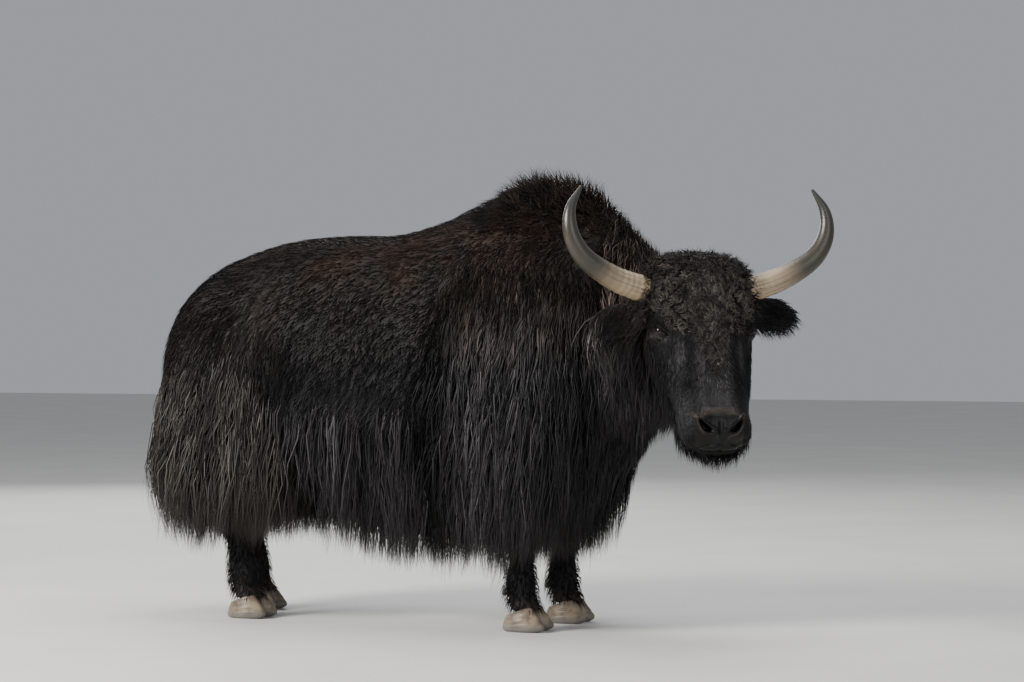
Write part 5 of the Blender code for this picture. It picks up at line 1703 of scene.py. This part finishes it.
def claw_shape(foot, part):
    """One claw: a rounded sole edge, a sloping front, and a top that falls towards the heel."""
    foot_x, foot_y, side = foot_place(foot)
    share = np.concatenate([[0.0, 0.0, 0.02, 0.055, 0.10], np.linspace(0.15, 1.0, 24), [1.04]])
    shrink = np.ones(len(share))
    shrink[:5] = 0.78, 0.86, 0.93, 0.975, 0.995
    shrink[-1] = 0.84
    toe, heel, half = rows_at(CLAW_ROWS, share).T
    ripple = 0.0004 * np.sin(share * 60 + foot_x * 50) + 0.0003 * np.sin(share * 27)
    ripple[:4] = 0
    count = 48
    angle = angles(count)
    c, s = np.cos(angle), np.sin(angle)
    x = np.where(c > 0, toe[:, None] * c, -heel[:, None] * c) * shrink[:, None] + ripple[:, None] * c
    narrow = 1.0 - 0.28 * np.maximum(c, 0.0) ** 2
    y = (half[:, None] * shrink[:, None] + ripple[:, None]) * narrow * np.sign(s) * np.abs(s) ** 0.85
    low = 1 - 0.30 * smooth(0.035, -0.050, x)
    turn = side * part * CLAW_SPLAY
    rx, ry = x * math.cos(turn) - y * math.sin(turn), x * math.sin(turn) + y * math.cos(turn)
    toe_rise = 0.004 * smooth(0.05, 0.075, x) * (1 - share[:, None])
    z = np.maximum(share[:, None] * CLAW_HEIGHT * low + toe_rise, 0.0)
    shape = np.stack([foot_x + rx, foot_y + side * part * 0.0305 + ry, z], -1)
    shape[0, :, 2] = 0.0
    return loft(shape), np.repeat(share, count), np.tile(c, len(share)), np.tile(s, len(share))


def dewclaw_shape(foot, part):
    foot_x, foot_y, side = foot_place(foot)
    root = np.array((foot_x - 0.045, foot_y + side * part * 0.022, 0.122))
    along = unit(np.array((-0.75, side * part * 0.25, -0.60)))
    across = unit(np.cross(along, UP))
    up = np.cross(across, along)
    share = np.linspace(0, 1, 14)
    reach = -0.014 + 0.036 * share
    radius = 0.0135 * np.sqrt(1 - 0.88 * share**3)
    radius[-1] = 0.004
    shape = ovals(root + along * reach[:, None], across, up, radius, radius * 0.85, radius * 0.85, count=20)
    angle = angles(20)
    return loft(shape), np.repeat(share, 20), np.tile(np.cos(angle), 14), np.tile(np.sin(angle), 14)


def hoof_object(name, made):
    (points, faces), share, turn, wrap = made
    obj = link(name, mesh_of(name, points, faces))
    for key, values in (("share", share), ("turn", turn), ("wrap", wrap)):
        put_attribute(obj.data, key, np.concatenate([values, [values[0], values[-1]]]))
    return obj


def hoof_material(name, looks):
    """Smooth, worn horn: tan above, bluish grey at the edge of the sole, dark in the dewclaws."""
    made, bench, shader = shader_of(name, looks.hoof, 0.45)
    place = bench.place()
    z = bench.axis(place, "Z")
    soft = bench.noise(place, 34.0, 4.0, 0.6)
    grit = bench.noise(place, 150.0, 6.0, 0.7)
    rings = bench.noise(bench.scaled(place, (0.06, 0.06, 1.0)), 300.0, 2.0)
    colour = bench.mix(bench.span(soft, 0.35, 0.65), looks.hoof, (0.105, 0.078, 0.052))
    colour = bench.mix(bench.span(z, 0.004, 0.034, 0.8, 0.0), colour, (0.130, 0.128, 0.118))
    colour = bench.mix(bench.span(z, 0.040, 0.066, 0.0, 0.55), colour, (0.100, 0.070, 0.055))
    worn = bench.times(bench.span(grit, 0.56, 0.72), 0.45)
    colour = bench.mix(worn, colour, (0.070, 0.056, 0.045))
    colour = bench.mix(bench.span(z, 0.080, 0.095, 0.0, 0.92), colour, (0.016, 0.013, 0.011))
    bench.link(colour, shader.inputs["Base Color"])
    bench.link(bench.span(grit, 0.3, 0.7, 0.34, 0.60), shader.inputs["Roughness"])
    under = bench.raised(rings, 0.12, 0.0010, None)
    bench.raised(grit, 0.20, 0.0008, shader, under)
    return made


def floor_material(name, looks):
    made, bench, shader = shader_of(name, looks.floor, 0.85)
    place = bench.place()
    soft = bench.noise(place, 1.6, 5.0)
    floor = looks.floor
    colour = bench.mix(bench.span(soft, 0.3, 0.7), floor, tuple(value * 0.93 for value in floor))
    bench.link(colour, shader.inputs["Base Color"])
    bench.raised(bench.noise(place, 60.0, 5.0), 0.15, 0.002, shader)
    return made


# Operators

def looks_now():
    return bpy.context.scene.yak_looks


GROUNDS = {}


def ground_now():
    if "skin" not in GROUNDS:
        GROUNDS["skin"] = Ground(bpy.data.objects["skin"])
    return GROUNDS["skin"]


def colour_setting(name, text, value):
    return bpy.props.FloatVectorProperty(name=name, description=text, default=value, subtype="COLOR",
                                         min=0, max=1)


def spacing_setting(name, text, value, least):
    return bpy.props.FloatProperty(name=name, description="Spacing of the " + text, default=value,
                                   unit="LENGTH", min=least)


class YakLooks(bpy.types.PropertyGroup):
    """Colours of the coat, the horns, the hooves, the eyes and the floor."""

    coat_black: colour_setting("Black coat", "Long hair, legs and head", (0.0090, 0.0084, 0.0088))
    coat_brown: colour_setting("Brown coat", "Cast of back and upper flank", (0.0235, 0.0140, 0.0095))
    coat_rear: colour_setting("Rear coat", "Hair of the thigh", (0.0260, 0.0222, 0.0190))
    coat_tips: colour_setting("Hair tips", "Bleached ends of the hair", (0.0300, 0.0245, 0.0205))
    curls: colour_setting("Curls", "Forehead curls", (0.0335, 0.0285, 0.0235))
    nose: colour_setting("Nose pad", "Moist skin between the nostrils", (0.0030, 0.0028, 0.0030))
    nose_rim: colour_setting("Nostril rims", "Rosy brown skin round the nostrils", (0.0540, 0.0385, 0.0280))
    lids: colour_setting("Lids", "Edges of the eyelids", (0.0230, 0.0175, 0.0150))
    pastern: colour_setting("Pasterns", "Skin just above the hooves", (0.0420, 0.0300, 0.0260))
    horn: colour_setting("Horn base", "Horn near the head", (0.3900, 0.2950, 0.1850))
    horn_grey: colour_setting("Horn middle", "Horn half way along", (0.0330, 0.0275, 0.0180))
    horn_tip: colour_setting("Horn tip", "Horn at its end", (0.0300, 0.0300, 0.0290))
    hoof: colour_setting("Hooves", "Claws of all feet", (0.2500, 0.1950, 0.1300))
    iris: colour_setting("Iris", "Ring round the pupil", (0.0090, 0.0052, 0.0034))
    floor: colour_setting("Floor", "Pale studio floor", (0.6600, 0.6400, 0.6100))


class YakSizes(bpy.types.PropertyGroup):
    """Spacing of the tufts, by kind of coat, and the place of the camera."""

    short_cell: spacing_setting("Short coat", "tufts of the back", 0.0095, 0.004)
    long_cell: spacing_setting("Long coat", "locks of the long coat", 0.0092, 0.004)
    face_cell: spacing_setting("Face", "tufts of the face", 0.0048, 0.002)
    leg_cell: spacing_setting("Legs", "tufts of the lower legs", 0.0085, 0.003)
    curl_cell: spacing_setting("Curls", "forehead's curls", 0.0042, 0.003)
    lens: bpy.props.FloatProperty(name="Lens", description="Focal length of the camera in millimetres",
                                  default=92.6, min=20.0)
    camera_place: bpy.props.FloatVectorProperty(name="Camera", description="Where the camera stands",
                                                default=(3.2813, -7.3636, 0.867), subtype="TRANSLATION")


class YakOperator:
    bl_options = {"REGISTER"}


class BuildStage(YakOperator, bpy.types.Operator):
    """Floor, soft studio light and the camera"""

    bl_idname = "yak.stage"
    bl_label = "Stage"

    def execute(self, context):
        looks, sizes = looks_now(), context.scene.yak_sizes
        camera_data = bpy.data.cameras.new("camera")
        camera = bpy.data.objects.new("camera", camera_data)
        context.scene.collection.objects.link(camera)
        camera.location = sizes.camera_place
        camera.rotation_euler = (math.radians(90), 0, math.radians(23))
        camera_data.sensor_width = 36
        camera_data.sensor_fit = "HORIZONTAL"
        camera_data.lens = sizes.lens
        context.scene.camera = camera
        corners = [(-30, -30, 0), (30, -30, 0), (30, 30, 0), (-30, 30, 0)]
        floor = link("floor", mesh_of("floor", corners, [(0, 1, 2, 3)], outward=False))
        floor.data.materials.append(floor_material("floor", looks))
        lamps = (
            ("key", (-4.1, -5.5, 4.2), 2.4, 940),
            ("fill", (5.4, -4.6, 2.8), 4.0, 130),
            ("top", (0.2, 1.2, 6.2), 4.5, 260),
            ("rear", (-4.5, 5.5, 3.5), 4.0, 200),
        )
        for name, place, size, power in lamps:
            data = bpy.data.lights.new(name, "AREA")
            data.size, data.energy = size, power
            data.color = (1.0, 0.985, 0.96) if name == "key" else (0.95, 0.975, 1.0)
            lamp = bpy.data.objects.new(name, data)
            lamp.location = place
            aim = Vector((0, 0, 0.75)) - Vector(place)
            lamp.rotation_euler = aim.to_track_quat("-Z", "Y").to_euler()
            context.scene.collection.objects.link(lamp)
        world = bpy.data.worlds.new("studio")
        world.use_nodes = True
        world.node_tree.nodes["Background"].inputs["Color"].default_value = (0.86, 0.90, 0.96, 1.0)
        world.node_tree.nodes["Background"].inputs["Strength"].default_value = 0.42
        context.scene.world = world
        return {"FINISHED"}


class BuildSkin(YakOperator, bpy.types.Operator):
    """One closed skin for trunk, neck, head, ears, legs and tail"""

    bl_idname = "yak.skin"
    bl_label = "Skin"

    def execute(self, context):
        skin = skin_object()
        skin.name = skin.data.name = "skin"
        skin.data.materials.clear()
        finished(skin, skin_material("skin", looks_now()), "coat_black", *FLESH_NODES)
        GROUNDS.clear()
        return {"FINISHED"}


def body_parts(g):
    x, y, z = g.middle.T
    return x, y, z, g.part == 0


class BuildShortCoat(YakOperator, bpy.types.Operator):
    """Short woolly coat of the back, hump and upper flanks, and the crest"""

    bl_idname = "yak.short_coat"
    bl_label = "Short coat"

    def execute(self, context):
        g, cell, looks = ground_now(), context.scene.yak_sizes.short_cell, looks_now()
        x, _, z, body = body_parts(g)
        loose = g.border()
        edge = thigh_edge(z)
        flank = np.where(x + 0.6 * loose > edge, flank_ridge(x) - 0.010, 0.83)
        low = np.where(x > -0.225 + 0.6 * loose, 1.00, flank) + loose
        finish = coat_material("short_coat", looks, 0.74, 0.18, 0.62, 0.07)
        back = body & (z > low) & (x < 0.27)
        coat_pieces("coat_back", "coat_brown", finish, tufts(g, back, cell, 11, upper_coat))
        crest = body & (z > 1.06) & (x > -0.16 + loose)
        crest &= (z > 1.21 + loose) | (x > 0.22)
        coat_pieces("coat_crest", "coat_brown", finish, tufts(g, crest, CREST_CELL, 12, crest_coat))
        return {"FINISHED"}


class BuildLongCoat(YakOperator, bpy.types.Operator):
    """Long hair of the shoulders, flanks, thighs, neck and tail"""

    bl_idname = "yak.long_coat"
    bl_label = "Long coat"

    def execute(self, context):
        g, cell, looks = ground_now(), context.scene.yak_sizes.long_cell, looks_now()
        x, y, z, body = body_parts(g)
        # roots=0.35: painted shade towards the roots of the long coat's tufts.
        finish = coat_material("long_coat", looks, 2.45, 0.30, 0.46, 0.16, roots=0.35)
        loose = g.border()
        dock = body & (np.abs(y) < 0.05) & (x < -1.215) & (z < 1.0)
        edge = thigh_edge(z)
        loose_x = loose * (0.2 + 0.6 * smooth(0.62, 0.80, z))
        shoulder = body & (x > -0.200 + loose_x) & (x < 0.24) & (z < 1.06 + loose) & (z > 0.40)
        flank = body & (x + loose_x > edge) & (x <= -0.195 + loose_x)
        flank &= (z < flank_ridge(x) + 0.020 + loose) & (z > 0.40)
        breech = body & (x + loose_x <= edge) & (z < 0.87 + loose) & (z > 0.40) & ~dock
        neck = body & (x >= 0.24) & (z > 0.40)
        # The last number gives the rear coat the same painted shade towards its roots.
        rear = coat_material("rear_coat", looks, 1.60, 0.40, 0.48, 0.15, looks.coat_rear, 0.60, 0.35)
        for name, material, mask, gap, seed, coat, nodes in (
            ("coat_shoulder", finish, shoulder, cell, 21, shoulder_coat, ["apron_left", "apron_right"]),
            ("coat_flank", finish, flank, cell, 22, flank_coat, ["skirt_left", "skirt_right"]),
            ("coat_breech", rear, breech, cell, 23, breech_coat, ["breech_left", "breech_right"]),
            ("coat_neck", finish, neck, cell, 24, neck_coat, []),
            ("coat_tail", finish, dock, TAIL_CELL, 25, tail_coat, []),
        ):
            coat_pieces(name, "coat_black", material, tufts(g, mask, gap, seed, coat), nodes)
        return {"FINISHED"}


class BuildHeadCoat(YakOperator, bpy.types.Operator):
    """Short hair, curls, beard and ear hair of the head"""

    bl_idname = "yak.head_coat"
    bl_label = "Head coat"

    def execute(self, context):
        g, sizes, looks = ground_now(), context.scene.yak_sizes, looks_now()
        p = body_to_head(g.middle)
        u, v, w = p.T
        head, ears = g.part == 1, g.part == 2
        clear = g.bare < 0.25
        finish = coat_material("head_coat", looks, 1.8, 0.20, 0.42, 0.17)
        chin = head & clear & (v < -0.085) & (u > 0.12) & (g.middle[:, 2] < 0.90)
        front = head & (v > -0.075)
        fringe = 0.215 + 0.13 * (1 - smooth(0.0, 0.060, np.abs(w)))
        curly = front & (u < fringe) & (np.abs(w) < 0.146 - 0.112 * smooth(0.13, 0.30, u)) & clear
        poll = head & (u < 0.13) & ~(curly & (u > 0.03))
        face = head & clear & ~chin & ~poll & ~curly
        face |= curly & (u > 0.03)
        lid = head & (g.bare >= 0.25) & (u > 0.15) & (u < 0.24) & (v < 0.02)
        tint = coat_material("curls", looks, 2.15, 0.20, 0.55, 0.20, looks.curls, 0.80)
        for name, material, mask, gap, seed, coat in (
            ("coat_face", finish, face, sizes.face_cell, 31, face_coat),
            ("coat_lashes", finish, lid, LASH_CELL, 36, lash_coat),
            ("coat_chin", finish, chin, BEARD_CELL, 32, chin_coat),
            ("coat_poll", finish, poll, POLL_CELL, 33, poll_coat),
            ("coat_ears", finish, ears, EAR_CELL, 34, ear_coat),
            ("coat_curls", tint, curly, sizes.curl_cell, 35, curl_coat),
        ):
            coat_pieces(name, "coat_black", material, tufts(g, mask, gap, seed, coat))
        return {"FINISHED"}


class BuildLegCoat(YakOperator, bpy.types.Operator):
    """Short hair of the lower legs and the fetlocks"""

    bl_idname = "yak.leg_coat"
    bl_label = "Leg coat"

    def execute(self, context):
        g, sizes, looks = ground_now(), context.scene.yak_sizes, looks_now()
        _, _, z, body = body_parts(g)
        finish = coat_material("leg_coat", looks, 0.55, 0.05, 0.58, 0.10)
        legs = body & (z < 0.42) & (z > 0.070)
        coat_pieces("coat_legs", "coat_black", finish, tufts(g, legs, sizes.leg_cell, 41, leg_coat))
        return {"FINISHED"}


class BuildHorns(YakOperator, bpy.types.Operator):
    """Both horns"""

    bl_idname = "yak.horns"
    bl_label = "Horns"

    def execute(self, context):
        finish = horn_material("horn", looks_now())
        for side, name in ((1, "left"), (-1, "right")):
            finished(horn_object(side, "horn_skin_" + name), finish, "horn", "horn_" + name)
        return {"FINISHED"}


class BuildEyes(YakOperator, bpy.types.Operator):
    """Both eyes"""

    bl_idname = "yak.eyes"
    bl_label = "Eyes"

    def execute(self, context):
        finish = eye_material("eye", looks_now())
        for side, name in ((1, "left"), (-1, "right")):
            finished(eye_object(side, "eyeball_" + name), finish, "eye", "eye_" + name)
        return {"FINISHED"}


class BuildHooves(YakOperator, bpy.types.Operator):
    """Claws and dewclaws of all four feet"""

    bl_idname = "yak.hooves"
    bl_label = "Hooves"

    def execute(self, context):
        finish = hoof_material("hoof", looks_now())
        for foot in FEET:
            for part, word in ((1, "outer"), (-1, "inner")):
                claw = hoof_object(f"claw_{foot}_{word}", claw_shape(foot, part))
                finished(claw, finish, "hoof", f"hoof_{foot}_{word}")
                dew = hoof_object(f"dew_{foot}_{word}", dewclaw_shape(foot, part))
                finished(dew, finish, "hoof", f"dewclaw_{foot}_{word}")
        return {"FINISHED"}


STEPS = (BuildStage, BuildSkin, BuildHorns, BuildEyes, BuildHooves, BuildShortCoat, BuildLongCoat,
         BuildHeadCoat, BuildLegCoat)


class YakPanel(bpy.types.Panel):
    """Lists the steps, the sizes and the colours."""

    bl_idname = "VIEW3D_PT_yak"
    bl_label = "Yak bull"
    bl_space_type = "VIEW_3D"
    bl_region_type = "UI"
    bl_category = "Yak"

    def draw(self, context):
        for step in STEPS:
            self.layout.operator(step.bl_idname)
        for group in (context.scene.yak_sizes, context.scene.yak_looks):
            for name in group.__annotations__:
                self.layout.prop(group, name)


CLASSES = (YakLooks, YakSizes, *STEPS, YakPanel)


def register():
    for made in CLASSES:
        bpy.utils.register_class(made)
    bpy.types.Scene.yak_looks = bpy.props.PointerProperty(type=YakLooks)
    bpy.types.Scene.yak_sizes = bpy.props.PointerProperty(type=YakSizes)


def unregister():
    del bpy.types.Scene.yak_looks
    del bpy.types.Scene.yak_sizes
    for made in reversed(CLASSES):
        bpy.utils.unregister_class(made)


def main():
    register()
    for step in STEPS:
        group, name = step.bl_idname.split(".")
        getattr(getattr(bpy.ops, group), name)()


if __name__ == "__main__":
    main()
